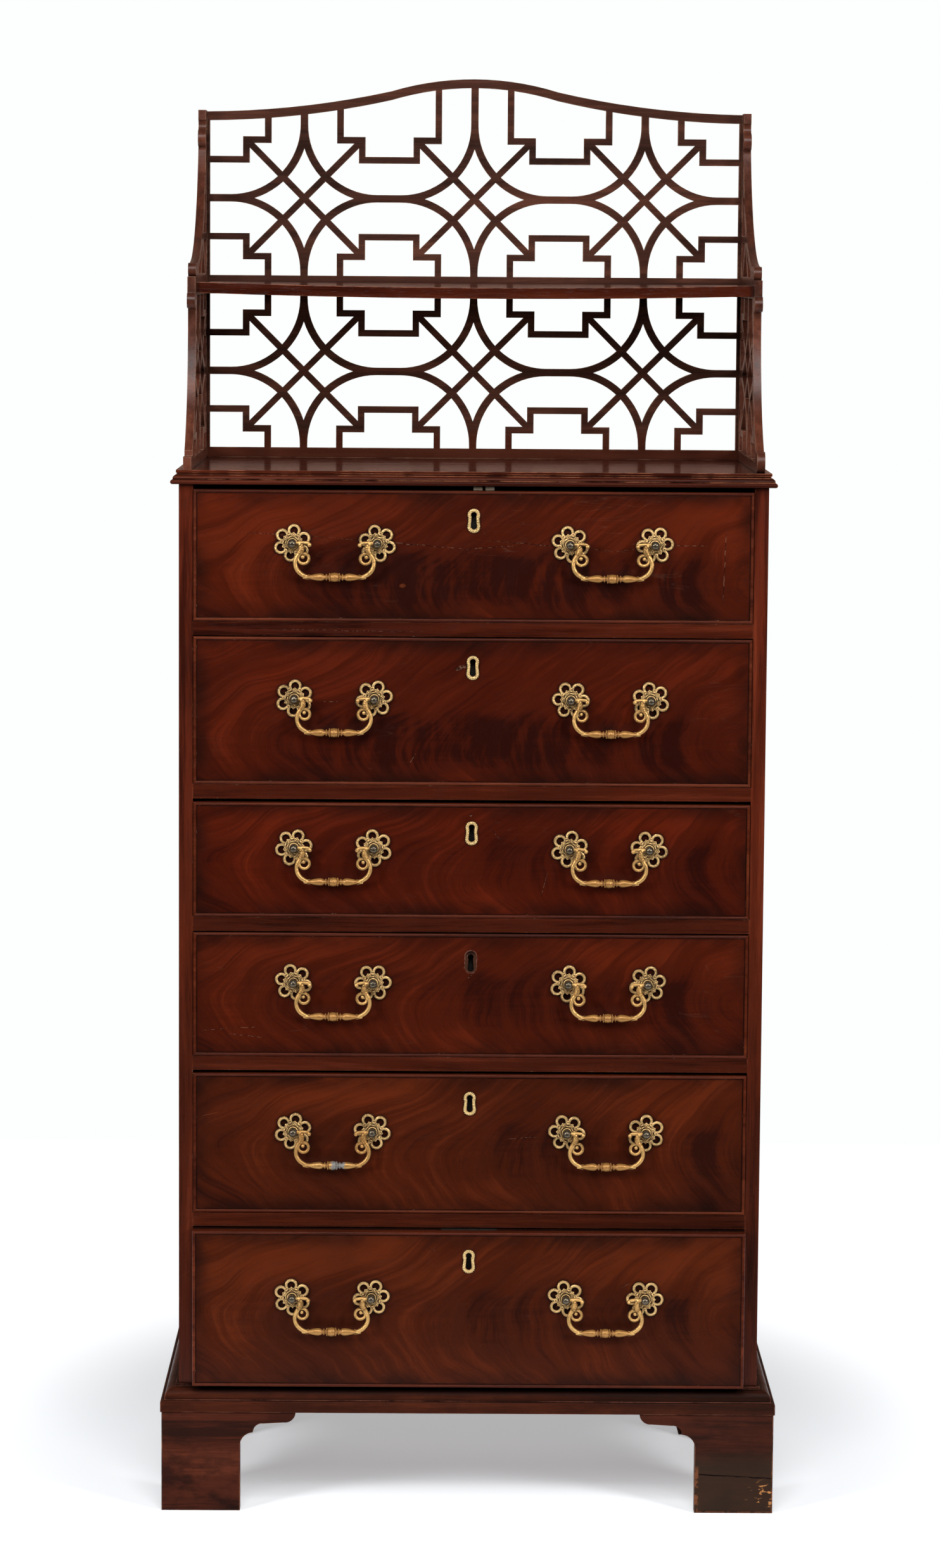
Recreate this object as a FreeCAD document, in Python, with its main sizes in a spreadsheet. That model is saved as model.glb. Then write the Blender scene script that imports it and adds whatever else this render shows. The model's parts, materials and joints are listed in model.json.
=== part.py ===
import FreeCAD, Part
import math
import os
import re
import Sketcher

# Tall chest of six drawers on bracket feet, with a two-tier pierced fret gallery on its top.
# Millimetres. X runs to the right, Y to the back, Z up; the origin is the middle of the footprint.
# Pieces are drawn from the plane of the case's front edge and moved back to the origin by front_plane.

doc = FreeCAD.newDocument("fret_gallery_chest")
sheet = doc.addObject("Spreadsheet::Sheet", "sizes")
Vector = FreeCAD.Vector

case_sizes = (
    ("case_width", 650, "outside of one case side to the other"),
    ("case_depth", 345, "front edge to back edge of a case side"),
    ("side_thickness", 15.5, "case side"),
    ("feet_height", 113, "floor to the underside of the case"),
    ("bottom_rise", 30, "underside of the case to the floor of the lowest opening"),
    ("bottom_thickness", 16, "bottom board"),
    ("rail_thickness", 16, "rail between two drawers"),
    ("rail_depth", 60, "rail, front to back"),
    ("runner_width", 22, "drawer runner"),
    ("dust_thickness", 6, "dust board"),
    ("back_thickness", 8, "back board"),
    ("back_rebate", 8, "back boards into each case side"),
    ("back_joint", 0.4, "gap between two back boards"),
    ("back_lap", 6, "lap of a back board behind the next"),
    ("stop_length", 30, "drawer stop along the rail"),
    ("stop_depth", 14, "drawer stop, front to back"),
    ("stop_height", 5, "drawer stop"),
    ("stop_spacing", 300, "between the two stops of a drawer"),
    ("stop_gap", 0.3, "closed drawer front to its stop"),
)

top_sizes = (
    ("top_side_overhang", 9, "top board past each case side"),
    ("top_front_overhang", 10, "top board past the case front"),
    ("nose_height", 5, "round nose along the lower edge"),
    ("nose_depth", 2, "rounding of the nose"),
    ("ovolo_height", 5, "ovolo above the nose"),
    ("ovolo_step", 2.5, "ovolo set back from the nose"),
    ("ovolo_depth", 3, "curve of the ovolo"),
    ("quirk_height", 2.5, "groove above the ovolo"),
    ("quirk_depth", 1.5, "groove set back from the ovolo"),
    ("arris_depth", 1, "top fillet proud of the groove"),
    ("arris_height", 3, "top fillet"),
)

base_sizes = (
    ("base_projection", 20, "base moulding past the case"),
    ("fascia_height", 13, "plain face of the base moulding"),
    ("fascia_round", 2, "rounded upper edge of the fascia"),
    ("base_ledge", 4.5, "fascia edge to the foot of the ovolo"),
    ("base_ovolo_foot", 3, "upright foot below the base ovolo"),
    ("base_ovolo_height", 10, "base ovolo"),
    ("base_fillet_depth", 3.5, "top fillet of the base moulding"),
    ("base_fillet_height", 2.5, "top fillet of the base moulding"),
    ("bracket_inset", 1.5, "foot behind the fascia"),
    ("bracket_thickness", 16, "bracket of a foot"),
    ("foot_width", 88, "foot at the floor"),
    ("bracket_length", 150.5, "foot and its wing below the moulding"),
    ("rear_bracket_length", 120, "plain bracket at the back"),
    ("block_width", 40, "corner block inside a foot"),
    ("block_lift", 2, "corner block above the floor"),
)

drawer_sizes = (
    ("drawer_1_height", 145, "top drawer"),
    ("drawer_2_height", 164, "second drawer"),
    ("drawer_3_height", 128, "third drawer"),
    ("drawer_4_height", 139, "fourth drawer"),
    ("drawer_5_height", 158, "fifth drawer"),
    ("drawer_6_height", 177, "bottom drawer"),
    ("head_gap_1", 5.5, "gap above the top drawer"),
    ("head_gap_2", 1.2, "gap above the second drawer"),
    ("head_gap_3", 4, "gap above the third drawer"),
    ("head_gap_4", 1.5, "gap above the fourth drawer"),
    ("head_gap_5", 3.5, "gap above the fifth drawer"),
    ("head_gap_6", 1, "gap above the bottom drawer"),
    ("seat_gap", 0.3, "drawer above its rail and runners"),
    ("drawer_side_gap", 0.5, "drawer to each case side"),
    ("bottom_drawer_ajar", 20, "bottom drawer left open by this much"),
    ("front_thickness", 20, "drawer front"),
    ("drawer_back_clearance", 19, "closed drawer to the back boards"),
    ("lining_thickness", 9, "drawer side"),
    ("lining_drop", 5, "drawer sides below the top of the front"),
    ("drawer_back_thickness", 8, "drawer back"),
    ("drawer_back_drop", 14, "drawer back below the top of the front"),
    ("drawer_bottom_thickness", 6, "drawer bottom"),
    ("drawer_bottom_lift", 8, "drawer bottom above the drawer's lower edge"),
    ("bead_width", 3.5, "cockbead strip"),
    ("bead_proud", 2, "cockbead in front of the drawer face"),
)

lock_sizes = (
    ("keyhole_drop", 26.4, "middle of the keyhole's head below the drawer's top edge"),
    ("keyhole_radius", 3.3, "round head of the keyhole"),
    ("keyhole_waist", 5.3, "keyhole below its head"),
    ("keyhole_foot", 6.9, "lower end of the keyhole"),
    ("keyhole_length", 16.2, "keyhole below the middle of its head"),
    ("escutcheon_width", 13.4, "escutcheon"),
    ("escutcheon_waist", 11.4, "escutcheon below its head"),
    ("escutcheon_height", 26.6, "escutcheon"),
    ("escutcheon_foot", 13.4, "lower end of the escutcheon"),
    ("escutcheon_thickness", 1.6, "escutcheon"),
    ("lock_width", 62, "lock case"),
    ("lock_height", 46, "lock case"),
    ("lock_thickness", 10, "lock case"),
    ("lock_play", 0.2, "lock case in its mortise"),
    ("bolt_width", 23, "forked bolt across both prongs"),
    ("bolt_thickness", 4, "forked bolt"),
    ("bolt_length", 28, "forked bolt"),
    ("bolt_offset", 11, "forked bolt to the right of the keyhole"),
    ("bolt_setback", 3, "forked bolt behind the front of the lock case"),
    ("bolt_throw", 6, "travel of the bolt"),
    ("bolt_tip_gap", 0.5, "raised bolt below the rail above it"),
    ("bolt_play", 0.3, "bolt in its slot"),
    ("fork_gap", 3.4, "between the two prongs"),
    ("fork_depth", 10, "length of a prong"),
)

handle_sizes = (
    ("handle_offset", 153, "middle of the drawer to the middle of a handle"),
    ("handle_span", 88.5, "between the two posts of a handle"),
    ("top_handle_span", 93.7, "between the two posts of a handle on the top drawer"),
    ("handle_rise", 14, "posts above the middle of the drawer"),
    ("loop_circle", 13, "middle of the rosette to the middle of a loop"),
    ("loop_radius", 7, "outside of a rosette loop"),
    ("loop_eye", 4, "pierced eye of a rosette loop"),
    ("hub_radius", 8.2, "solid middle of a rosette"),
    ("rosette_thickness", 2.2, "rosette"),
    ("post_radius", 2.5, "shank of a post"),
    ("post_play", 0.15, "post in its hole"),
    ("post_tail", 7, "post behind the drawer front"),
    ("ball_radius", 4.5, "ball head of a post"),
    ("pivot_standoff", 12, "drawer face to the middle of the ball"),
    ("nut_width", 10, "square nut"),
    ("nut_thickness", 4, "square nut"),
    ("pin_radius", 1.5, "pin of a bail"),
    ("pin_play", 0.08, "pin in the ball"),
    ("pin_end", 0.6, "pin short of the outside of the ball"),
    ("bail_radius", 2.3, "rod of a bail"),
    ("bail_drop", 37.5, "pins to the grip"),
    ("bail_start", 1.6, "rod of the bail inside the ball"),
    ("hook_run", 3.8, "rod of the bail to its first bend"),
    ("hook_bend", 3, "first bend of the rod"),
    ("hook_drop", 9.5, "pin to the second bend"),
    ("scroll_bend", 6, "bends between the hook and the neck"),
    ("neck_inset", 3.5, "neck of the bail inside its post"),
    ("neck_top", 15.5, "pin to the top of the neck"),
    ("neck_bend", 12, "bend from the neck to the grip"),
    ("ring_inset", 10.8, "open scroll inside its post"),
    ("ring_drop", 16, "pin to the middle of the open scroll"),
    ("ring_radius", 5.6, "open scroll, at the middle of its rod"),
    ("ring_rod", 1.2, "rod of the open scroll"),
    ("knob_inset", 15.5, "knob of the hook inside its post"),
    ("knob_drop", 1.2, "pin to the knob of the hook"),
    ("knob_radius", 1.8, "knob of the hook"),
    ("baluster_length", 20, "turned baluster of the grip"),
    ("baluster_radius", 4.2, "turned baluster of the grip"),
    ("bead_length", 14, "ribbed bead in the middle of the grip"),
    ("bead_radius", 5.2, "ribbed bead in the middle of the grip"),
)

gallery_sizes = (
    ("gallery_inset", 4.5, "gallery side in from the outside of the case side"),
    ("gallery_thickness", 9, "fret board"),
    ("gallery_setback", 2.5, "gallery in front of the case's back edge"),
    ("gallery_front", 2, "case front to the scroll at the foot of a side"),
    ("frame_width", 3.5, "upright edge of the fret back"),
    ("fret_base", 11.5, "lower rail of the fret"),
    ("fret_height", 179, "opening of one tier"),
    ("middle_rail", 21.5, "rail between the tiers"),
    ("fret_margin", 14.05, "outermost cell of the fret to a gallery side"),
    ("arc_radius", 85.2, "arcs of a cell, at the middle of their bars"),
    ("arc_bar", 8.6, "bar of the arcs"),
    ("bar_width", 7.6, "straight bars"),
    ("elbow_reach", 67.4, "middle of a cell to its elbows"),
    ("key_level", 44.5, "middle of a cell to the inner bar of a key"),
    ("key_out", 42, "middle of a cell to the outer bar of a key"),
    ("crest_rail", 10, "top rail of the fret"),
    ("crest_rise", 39, "crest above its ends"),
    ("crest_half", 97, "middle of the crest to its turning point"),
    ("side_cell_depth", 153.5, "middle of the side fret to the back of the gallery"),
    ("side_elbow_reach", 116, "middle of the side fret to its elbows"),
    ("side_key_out", 72.5, "middle of the side fret to the outer bars"),
    ("side_arc_reach", 147, "middle of the side fret to the ends of its arcs"),
    ("side_back_frame", 9, "upright behind the side fret"),
    ("side_front_frame", 16, "edge of the side along its lower sweep"),
    ("side_rise", 1, "gallery side above the ends of the crest"),
    ("shelf_seat", 2.5, "lower opening of the fret to the underside of the shelf"),
    ("shelf_thickness", 12, "shelf"),
    ("shelf_front", 93, "case front to the front edge of the shelf"),
    ("shelf_sag", 4.5, "sag in the middle of the shelf's front edge"),
    ("shelf_block_front", 88, "case front to the block at the shelf"),
    ("block_lip", 6, "block above the shelf"),
    ("shelf_scroll", 17, "scroll below the shelf"),
    ("shelf_scroll_front", 76, "case front to the scroll below the shelf"),
    ("lower_sweep_top", 100, "case front to the top of the lower sweep"),
    ("lower_sweep_foot", 22, "case front to the foot of the lower sweep"),
    ("foot_scroll", 20, "scroll at the foot of the right gallery side"),
    ("foot_scroll_heel", 12, "case front to the heel of that scroll"),
    ("foot_block_front", 4, "case front to the plain block under the left side"),
    ("foot_block_height", 14, "plain block that replaces the lost left scroll"),
    ("foot_block_step", 30, "case front to the step of that block"),
    ("upper_scroll", 15, "scroll above the shelf"),
    ("upper_scroll_front", 100, "case front to the scroll above the shelf"),
    ("upper_sweep_foot", 115, "case front to the foot of the upper sweep"),
    ("upper_sweep_depth", 26.5, "top of the upper sweep to the back of the gallery"),
    ("top_scroll", 19, "scroll at the top of a gallery side"),
    ("top_scroll_depth", 38.5, "front of the top scroll to the back of the gallery"),
    ("top_hollow", 12, "hollow above the top scroll"),
    ("hollow_depth", 4, "hollow above the top scroll"),
    ("top_block_depth", 28.5, "block at the top of a side, front to back"),
    ("top_block_height", 11, "block at the top of a side"),
    ("upper_opening_front", 160, "case front to the upper opening of a side"),
    ("upper_opening_end", 7, "blunt front end of that opening"),
    ("upper_opening_drop", 28, "head of that opening below the head of the sweep"),
    ("upper_sill", 3, "floor of that opening above the block at the shelf"),
    ("upper_bar_rise", 43, "level bar above the floor of that opening"),
    ("strut_depth", 87.5, "top of the two struts to the back of the gallery"),
    ("strut_run", 42, "foot of a strut from its top"),
)

overrun_sizes = (
    ("overrun", 5, "how far a cut runs past its piece"),
)

all_sizes = (case_sizes + top_sizes + base_sizes + drawer_sizes + lock_sizes + handle_sizes
             + gallery_sizes + overrun_sizes)
for row, (alias, size, note) in enumerate(all_sizes, start=1):
    sheet.set("A%d" % row, note)
    sheet.set("B%d" % row, str(size))
    sheet.setAlias("B%d" % row, alias)
doc.recompute()

aliases = sorted((alias for alias, size, note in all_sizes), key=len, reverse=True)
alias_pattern = re.compile(r"\b(%s)\b" % "|".join(aliases))

# Sizes that follow from others
derived_sizes = {
    "top_thickness": "(nose_height + ovolo_height + quirk_height + arris_height)",
    "bead_depth": "(front_thickness - lock_thickness)",
    "drawer_length": "(case_depth - back_thickness - drawer_back_clearance)",
    "gallery_width": "(case_width - 2 * gallery_inset - 2 * gallery_thickness)",
    "shelf_level": "(fret_base + fret_height + shelf_seat)",
}
derived_pattern = re.compile(r"\b(%s)\b" % "|".join(derived_sizes))

# Shares of an outline, chosen by hand
bracket_rise_shares = (0.64, 0.795, 0.885, 0.897)
bracket_run_shares = (0.23, 0.42, 0.785)
bracket_bend_share = 0.72
back_lap_share = 0.5
foot_round_share = 0.42
crest_shoulder_share = 0.5
crest_shoulder_rise_share = 0.17
crest_turn_share = 0.63
lower_sweep_run_share = 0.62
lower_sweep_rise_share = 0.3
upper_sweep_run_share = 0.685
upper_sweep_rise_share = 0.345
upper_opening_run_share = 0.615
upper_opening_rise_share = 0.388
neck_waist_share = 0.7


def formula(text):
    plain = derived_pattern.sub(lambda match: derived_sizes[match.group(1)], text)
    return alias_pattern.sub(r"sizes.\1", plain)


def value(text):
    return float(sheet.evalExpression(formula(text)))


def bind(item, **texts):
    for name, text in texts.items():
        item.setExpression(name, formula(text))


def place(item, x="0", y="0", z="0"):
    for axis, text in zip("xyz", (x, y, z)):
        if text != "0":
            item.setExpression("Placement.Base." + axis, formula(text))
    return item


# Levels and places that several pieces share

def opening_floor(number):
    # floor of the opening that a drawer slides in, counted up from the bottom drawer
    if number == drawer_count:
        return "feet_height + bottom_rise"
    below = number + 1
    drawer = "seat_gap + drawer_{0}_height + head_gap_{0}".format(below)
    return "%s + %s + rail_thickness" % (opening_floor(below), drawer)


drawer_count = 6
drawer_numbers = range(1, drawer_count + 1)
lost_escutcheon = 4
handle_reach = "(pivot_standoff + bead_radius)"
front_plane = "(%s + bottom_drawer_ajar - case_depth) / 2" % handle_reach
inner_width = "(case_width - 2 * side_thickness)"
drawer_width = "(%s - 2 * drawer_side_gap)" % inner_width
case_top = "(%s + seat_gap + drawer_1_height + head_gap_1)" % opening_floor(1)
top_face = "(%s + top_thickness)" % case_top
gallery_back_face = "(case_depth - gallery_setback)"
gallery_front_face = "(%s - gallery_thickness)" % gallery_back_face
fret_centres = ("(fret_base + fret_height / 2)", "(fret_base + fret_height * 1.5 + middle_rail)")
crest_ends = "(fret_base + 2 * fret_height + middle_rail + crest_rail)"

nodes = []


def keep(item, label, y=front_plane, z="0"):
    item.Label = label
    place(item, y=y, z=z)
    nodes.append(item)
    return item


def board(name, x, y, z, length, width, height):
    box = doc.addObject("Part::Box", name)
    bind(box, Length=length, Width=width, Height=height)
    return place(box, x, y, z)


def cut(name, base, tool):
    item = doc.addObject("Part::Cut", name)
    item.Base = base
    item.Tool = tool
    return item


def common(name, base, tool):
    item = doc.addObject("Part::Common", name)
    item.Base = base
    item.Tool = tool
    return item


def group(name, pieces):
    item = doc.addObject("Part::Compound", name)
    item.Links = pieces
    return item


def mirrored(name, source, normal, x="0", y="0"):
    item = doc.addObject("Part::Mirroring", name)
    item.Source = source
    item.Normal = normal
    for axis, text in (("x", x), ("y", y)):
        if text != "0":
            item.setExpression("Base." + axis, formula(text))
    return item


# Sketches: a closed outline of corners, each pinned to the sheet, with arcs through a named point

def sketch_on(body, name, role, offset=None):
    sketch = body.newObject("Sketcher::SketchObject", name)
    plane = [feature for feature in body.Origin.OriginFeatures if feature.Role == role][0]
    sketch.AttachmentSupport = [(plane, "")]
    sketch.MapMode = "FlatFace"
    if offset:
        sketch.setExpression("AttachmentOffset.Base.z", formula(offset))
    return sketch


def pin(sketch, shape, end, corner):
    for axis, line, text in (("DistanceX", -2, corner[0]), ("DistanceY", -1, corner[1])):
        if text == "0":
            sketch.addConstraint(Sketcher.Constraint("PointOnObject", shape, end, line))
        else:
            index = sketch.addConstraint(Sketcher.Constraint(axis, -1, 1, shape, end, value(text)))
            sketch.setExpression("Constraints[%d]" % index, formula(text))


def outline(sketch, corners):
    # a corner is (x, y), or (x, y, x and y of a point on the arc that leaves it)
    spots = [Vector(value(corner[0]), value(corner[1]), 0) for corner in corners]
    ends = []
    for number, corner in enumerate(corners):
        start = spots[number]
        stop = spots[(number + 1) % len(spots)]
        if len(corner) == 2:
            shape = sketch.addGeometry(Part.LineSegment(start, stop))
            ends.append((shape, 1, 2))
            continue
        via = Vector(value(corner[2]), value(corner[3]), 0)
        turns_left = (via - start).cross(stop - via).z > 0
        arc = Part.Arc(start, via, stop) if turns_left else Part.Arc(stop, via, start)
        shape = sketch.addGeometry(arc)
        ends.append((shape, 1, 2) if turns_left else (shape, 2, 1))
        point = sketch.addGeometry(Part.Point(via), True)
        pin(sketch, point, 1, corner[2:])
        sketch.addConstraint(Sketcher.Constraint("PointOnObject", point, 1, shape))
    for number, corner in enumerate(corners):
        shape, first, last = ends[number]
        after = ends[(number + 1) % len(ends)]
        sketch.addConstraint(Sketcher.Constraint("Coincident", shape, last, after[0], after[1]))
        pin(sketch, shape, first, corner)


def rectangle(sketch, x0, y0, x1, y1):
    outline(sketch, ((x0, y0), (x1, y0), (x1, y1), (x0, y1)))


def disc(sketch, x, y, radius):
    centre = Vector(value(x), value(y), 0)
    shape = sketch.addGeometry(Part.Circle(centre, Vector(0, 0, 1), value(radius)))
    pin(sketch, shape, 3, (x, y))
    index = sketch.addConstraint(Sketcher.Constraint("Radius", shape, value(radius)))
    sketch.setExpression("Constraints[%d]" % index, formula(radius))


def padded(name, role, corners, length, reverse=False, offset=None):
    body = doc.addObject("PartDesign::Body", name)
    sketch = sketch_on(body, name + "_outline", role, offset)
    outline(sketch, corners)
    pad = body.newObject("PartDesign::Pad", name + "_pad")
    pad.Profile = sketch
    pad.Reversed = reverse
    bind(pad, Length=length)
    return body


def pocket(body, sketch, name, depth=None):
    feature = body.newObject("PartDesign::Pocket", name)
    feature.Profile = sketch
    if depth:
        bind(feature, Length=depth)
    else:
        feature.Type = "ThroughAll"
    return feature


# Case sides, rebated at the back for the back boards

def case_side(side):
    left = side == "left"
    outer = "-case_width / 2" if left else "case_width / 2 - side_thickness"
    rebate = "-case_width / 2 + side_thickness - back_rebate" if left else "case_width / 2 - side_thickness"
    height = "%s - feet_height" % case_top
    blank = board(side + "_blank", outer, "0", "feet_height", "side_thickness", "case_depth", height)
    groove = board(side + "_rebate", rebate, "case_depth - back_thickness", "feet_height - overrun",
                   "back_rebate", "back_thickness + overrun", height + " + 2 * overrun")
    keep(cut("case_side_" + side, blank, groove), "case_side_" + side)


case_side("left")
case_side("right")

bottom_level = "feet_height + bottom_rise - bottom_thickness"
back_front = "(case_depth - back_thickness)"
keep(board("case_bottom", "0", "0", "0", inner_width, back_front, "bottom_thickness"), "case_bottom",
     z=bottom_level)
place(nodes[-1], x="-%s / 2" % inner_width)

# Back: upright boards lapped over each other in the rebates
back_count = 4
back_pitch = "((%s + 2 * back_rebate) / %d)" % (inner_width, back_count)
back_height = "%s - (%s)" % (case_top, bottom_level)
half_back = "back_thickness * %s" % back_lap_share
back_boards = []
for number in range(back_count):
    name = "back_board_%d" % number
    left_edge = "(-%s / 2 - back_rebate + %d * %s + back_joint / 2)" % (inner_width, number, back_pitch)
    right_edge = "(%s + %s - back_joint)" % (left_edge, back_pitch)
    last = number == back_count - 1
    lap = "" if last else " + back_lap"
    plank = board(name + "_blank", left_edge, back_front, bottom_level,
                  back_pitch + " - back_joint" + lap, "back_thickness", back_height)
    if not last:
        tongue = board(name + "_tongue_cut", right_edge, back_front + " - overrun",
                       bottom_level + " - overrun", "back_lap + overrun", "overrun + %s" % half_back,
                       back_height + " + 2 * overrun")
        plank = cut(name + "_lapped", plank, tongue)
    if number:
        seat = board(name + "_seat_cut", left_edge + " - overrun",
                     "%s + %s - back_joint" % (back_front, half_back), bottom_level + " - overrun",
                     "overrun + back_lap + back_joint", "back_thickness", back_height + " + 2 * overrun")
        plank = cut(name, plank, seat)
    back_boards.append(plank)
keep(group("back_boards", back_boards), "back_boards")

# Rails, runners, dust boards and stops of the openings
rails = []
runners = []
dust_boards = []
stops = []
for number in drawer_numbers:
    floor = opening_floor(number)
    for side in (-1, 1):
        stops.append(board("stop_%d" % number, "%d * stop_spacing / 2 - stop_length / 2" % side,
                           "front_thickness + stop_gap", floor, "stop_length", "stop_depth", "stop_height"))
    if number == drawer_count:
        continue
    rail_level = "%s - rail_thickness" % floor
    rails.append(board("rail_%d" % number, "-%s / 2" % inner_width, "0", rail_level,
                       inner_width, "rail_depth", "rail_thickness"))
    runner_length = "%s - rail_depth" % back_front
    for edge in ("-%s / 2" % inner_width, "%s / 2 - runner_width" % inner_width):
        runners.append(board("runner_%d" % number, edge, "rail_depth", rail_level,
                             "runner_width", runner_length, "rail_thickness"))
    dust_boards.append(board("dust_board_%d" % number, "-%s / 2 + runner_width" % inner_width, "rail_depth",
                             rail_level + " + rail_thickness / 2 - dust_thickness / 2",
                             "%s - 2 * runner_width" % inner_width, runner_length, "dust_thickness"))
keep(group("drawer_rails", rails), "drawer_rails")
keep(group("drawer_runners", runners), "drawer_runners")
keep(group("dust_boards", dust_boards), "dust_boards")
keep(group("drawer_stops", stops), "drawer_stops")

# Top board: the moulded edge runs round the front and both ends, so the board is where two
# mouldings cross, one run across the front and one run from front to back

def top_edge(out, inward):
    # the edge from its underside up, where out is the outermost line and inward points to the board
    steps = ["0", "ovolo_step", "ovolo_step + ovolo_depth", "ovolo_step + ovolo_depth + quirk_depth",
             "ovolo_step + ovolo_depth + quirk_depth - arris_depth"]
    lines = ["%s %s (%s)" % (out, inward, step) for step in steps]
    nose_top = "nose_height"
    ovolo_top = "(nose_height + ovolo_height)"
    quirk_top = "(nose_height + ovolo_height + quirk_height)"
    return [
        ("%s %s nose_depth" % (out, inward), "0", lines[0], "nose_height / 2"),
        ("%s %s nose_depth" % (out, inward), nose_top),
        (lines[1] + " %s nose_depth / 2" % inward, nose_top),
        (lines[1], nose_top + " + ovolo_height * (1 - %s)" % bracket_bend_share,
         lines[1] + " %s ovolo_depth * (1 - %s)" % (inward, bracket_bend_share),
         nose_top + " + ovolo_height * %s" % bracket_bend_share),
        (lines[2], ovolo_top),
        (lines[3], ovolo_top),
        (lines[3], quirk_top),
        (lines[4], quirk_top),
        (lines[4], "top_thickness"),
    ]


top_back = [("case_depth", "top_thickness"), ("case_depth", "0")]
across = padded("top_across", "YZ_Plane", top_edge("-top_front_overhang", "+") + top_back,
                "case_width + 2 * top_side_overhang")
place(across, x="-case_width / 2 - top_side_overhang")
right_edge = top_edge("(case_width / 2 + top_side_overhang)", "-")
left_edge = top_edge("-(case_width / 2 + top_side_overhang)", "+")


def reversed_outline(corners):
    # the same edge from its top down: an arc moves to the corner at its other end
    turned = []
    for number in range(len(corners) - 1, -1, -1):
        arc = corners[number - 1][2:] if number else ()
        turned.append(tuple(corners[number][:2]) + tuple(arc))
    return turned


endways = padded("top_endways", "XZ_Plane", left_edge + reversed_outline(right_edge),
                 "case_depth + top_front_overhang", reverse=True)
place(endways, y="-top_front_overhang")
keep(common("top_board", across, endways), "top_board", z=case_top)

# Base moulding: three lengths, mitred at the front corners

def base_edge(out):
    # section of the moulding from its underside up; out counts from the face of the case
    foot_line = "(base_projection - base_ledge)"
    fascia_top = "fascia_height"
    ovolo_foot = "(fascia_height + base_ovolo_foot)"
    ovolo_top = "(fascia_height + base_ovolo_foot + base_ovolo_height)"
    reach = "(%s - base_fillet_depth)" % foot_line
    return [
        ("0", "0"),
        (out % "base_projection", "0"),
        (out % "base_projection", "fascia_height - fascia_round",
         out % ("(base_projection - fascia_round * (1 - %s))" % bracket_bend_share),
         "fascia_height - fascia_round * (1 - %s)" % bracket_bend_share),
        (out % "(base_projection - fascia_round)", fascia_top),
        (out % foot_line, fascia_top),
        (out % foot_line, ovolo_foot,
         out % ("(base_fillet_depth + %s * %s)" % (reach, bracket_bend_share)),
         "%s + base_ovolo_height * %s" % (ovolo_foot, bracket_bend_share)),
        (out % "base_fillet_depth", ovolo_top),
        (out % "base_fillet_depth", ovolo_top + " + base_fillet_height"),
        ("0", ovolo_top + " + base_fillet_height"),
    ]


moulding_height = "fascia_height + base_ovolo_foot + base_ovolo_height + base_fillet_height"
front_run = padded("base_front_run", "YZ_Plane", base_edge("-%s"), "case_width + 2 * base_projection")
place(front_run, x="-case_width / 2 - base_projection")
half_width = "case_width / 2"
mitre_in = "(%s - overrun)" % half_width
mitre_out = "(%s + base_projection + overrun)" % half_width
plan_height = moulding_height + " + 2 * overrun"
front_plan = padded("base_front_plan", "XY_Plane", (
    ("-" + mitre_in, "overrun"),
    ("-" + mitre_out, "-base_projection - overrun"),
    (mitre_out, "-base_projection - overrun"),
    (mitre_in, "overrun")), plan_height)
place(front_plan, z="-overrun")
front_moulding = common("base_moulding_front", front_run, front_plan)
side_run = padded("base_side_run", "XZ_Plane", base_edge("%s"), "case_depth + base_projection", reverse=True)
place(side_run, x=half_width, y="-base_projection")
side_plan = padded("base_side_plan", "XY_Plane", (
    (mitre_in, "overrun"),
    (mitre_out, "-base_projection - overrun"),
    (mitre_out, "case_depth + overrun"),
    (mitre_in, "case_depth + overrun")), plan_height)
place(side_plan, z="-overrun")
right_moulding = common("base_moulding_right", side_run, side_plan)
left_moulding = mirrored("base_moulding_left", right_moulding, Vector(1, 0, 0))
mouldings = [front_moulding, right_moulding, left_moulding]
keep(group("base_moulding", mouldings), "base_moulding", z="feet_height")

# Feet: shaped brackets mitred at the front corners, plain brackets across the back

corner_x = "(case_width / 2 + base_projection - bracket_inset)"
corner_y = "(-base_projection + bracket_inset)"
wing = "(bracket_length - foot_width)"
rises = ["feet_height * %s" % share for share in bracket_rise_shares]
runs = ["foot_width + %s * %s" % (wing, share) for share in bracket_run_shares]
first_bend = ("foot_width + %s * %s * (1 - %s)" % (wing, bracket_run_shares[0], bracket_bend_share),
              "feet_height * (%s + (%s - %s) * %s)" % (bracket_rise_shares[0], bracket_rise_shares[1],
                                                       bracket_rise_shares[0], bracket_bend_share))
second_bend = ("foot_width + %s * (%s + (%s - %s) * (1 - %s))" % (
    wing, bracket_run_shares[0], bracket_run_shares[1], bracket_run_shares[0], bracket_bend_share),
    "feet_height * (%s + (%s - %s) * %s)" % (bracket_rise_shares[1], bracket_rise_shares[2],
                                             bracket_rise_shares[1], bracket_bend_share))
third_bend = ("foot_width + %s * (%s + (1 - %s) * %s)" % (
    wing, bracket_run_shares[2], bracket_run_shares[2], bracket_bend_share),
    "feet_height * (%s + (1 - %s) * (1 - %s))" % (bracket_rise_shares[3], bracket_rise_shares[3],
                                                  bracket_bend_share))
bracket_corners = (
    ("0", "0"),
    ("foot_width", "0"),
    ("foot_width", rises[0]) + first_bend,
    (runs[0], rises[1]) + second_bend,
    (runs[1], rises[2]),
    (runs[2], rises[3]) + third_bend,
    ("bracket_length", "feet_height"),
    ("0", "feet_height"),
)
bracket = padded("bracket_blank", "XZ_Plane", bracket_corners, "bracket_thickness", reverse=True)
mitre_sketch = sketch_on(bracket, "bracket_mitre", "XY_Plane")
outline(mitre_sketch, (("0", "0"), ("bracket_thickness", "bracket_thickness"),
                       ("0", "bracket_thickness")))
doc.recompute()
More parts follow.
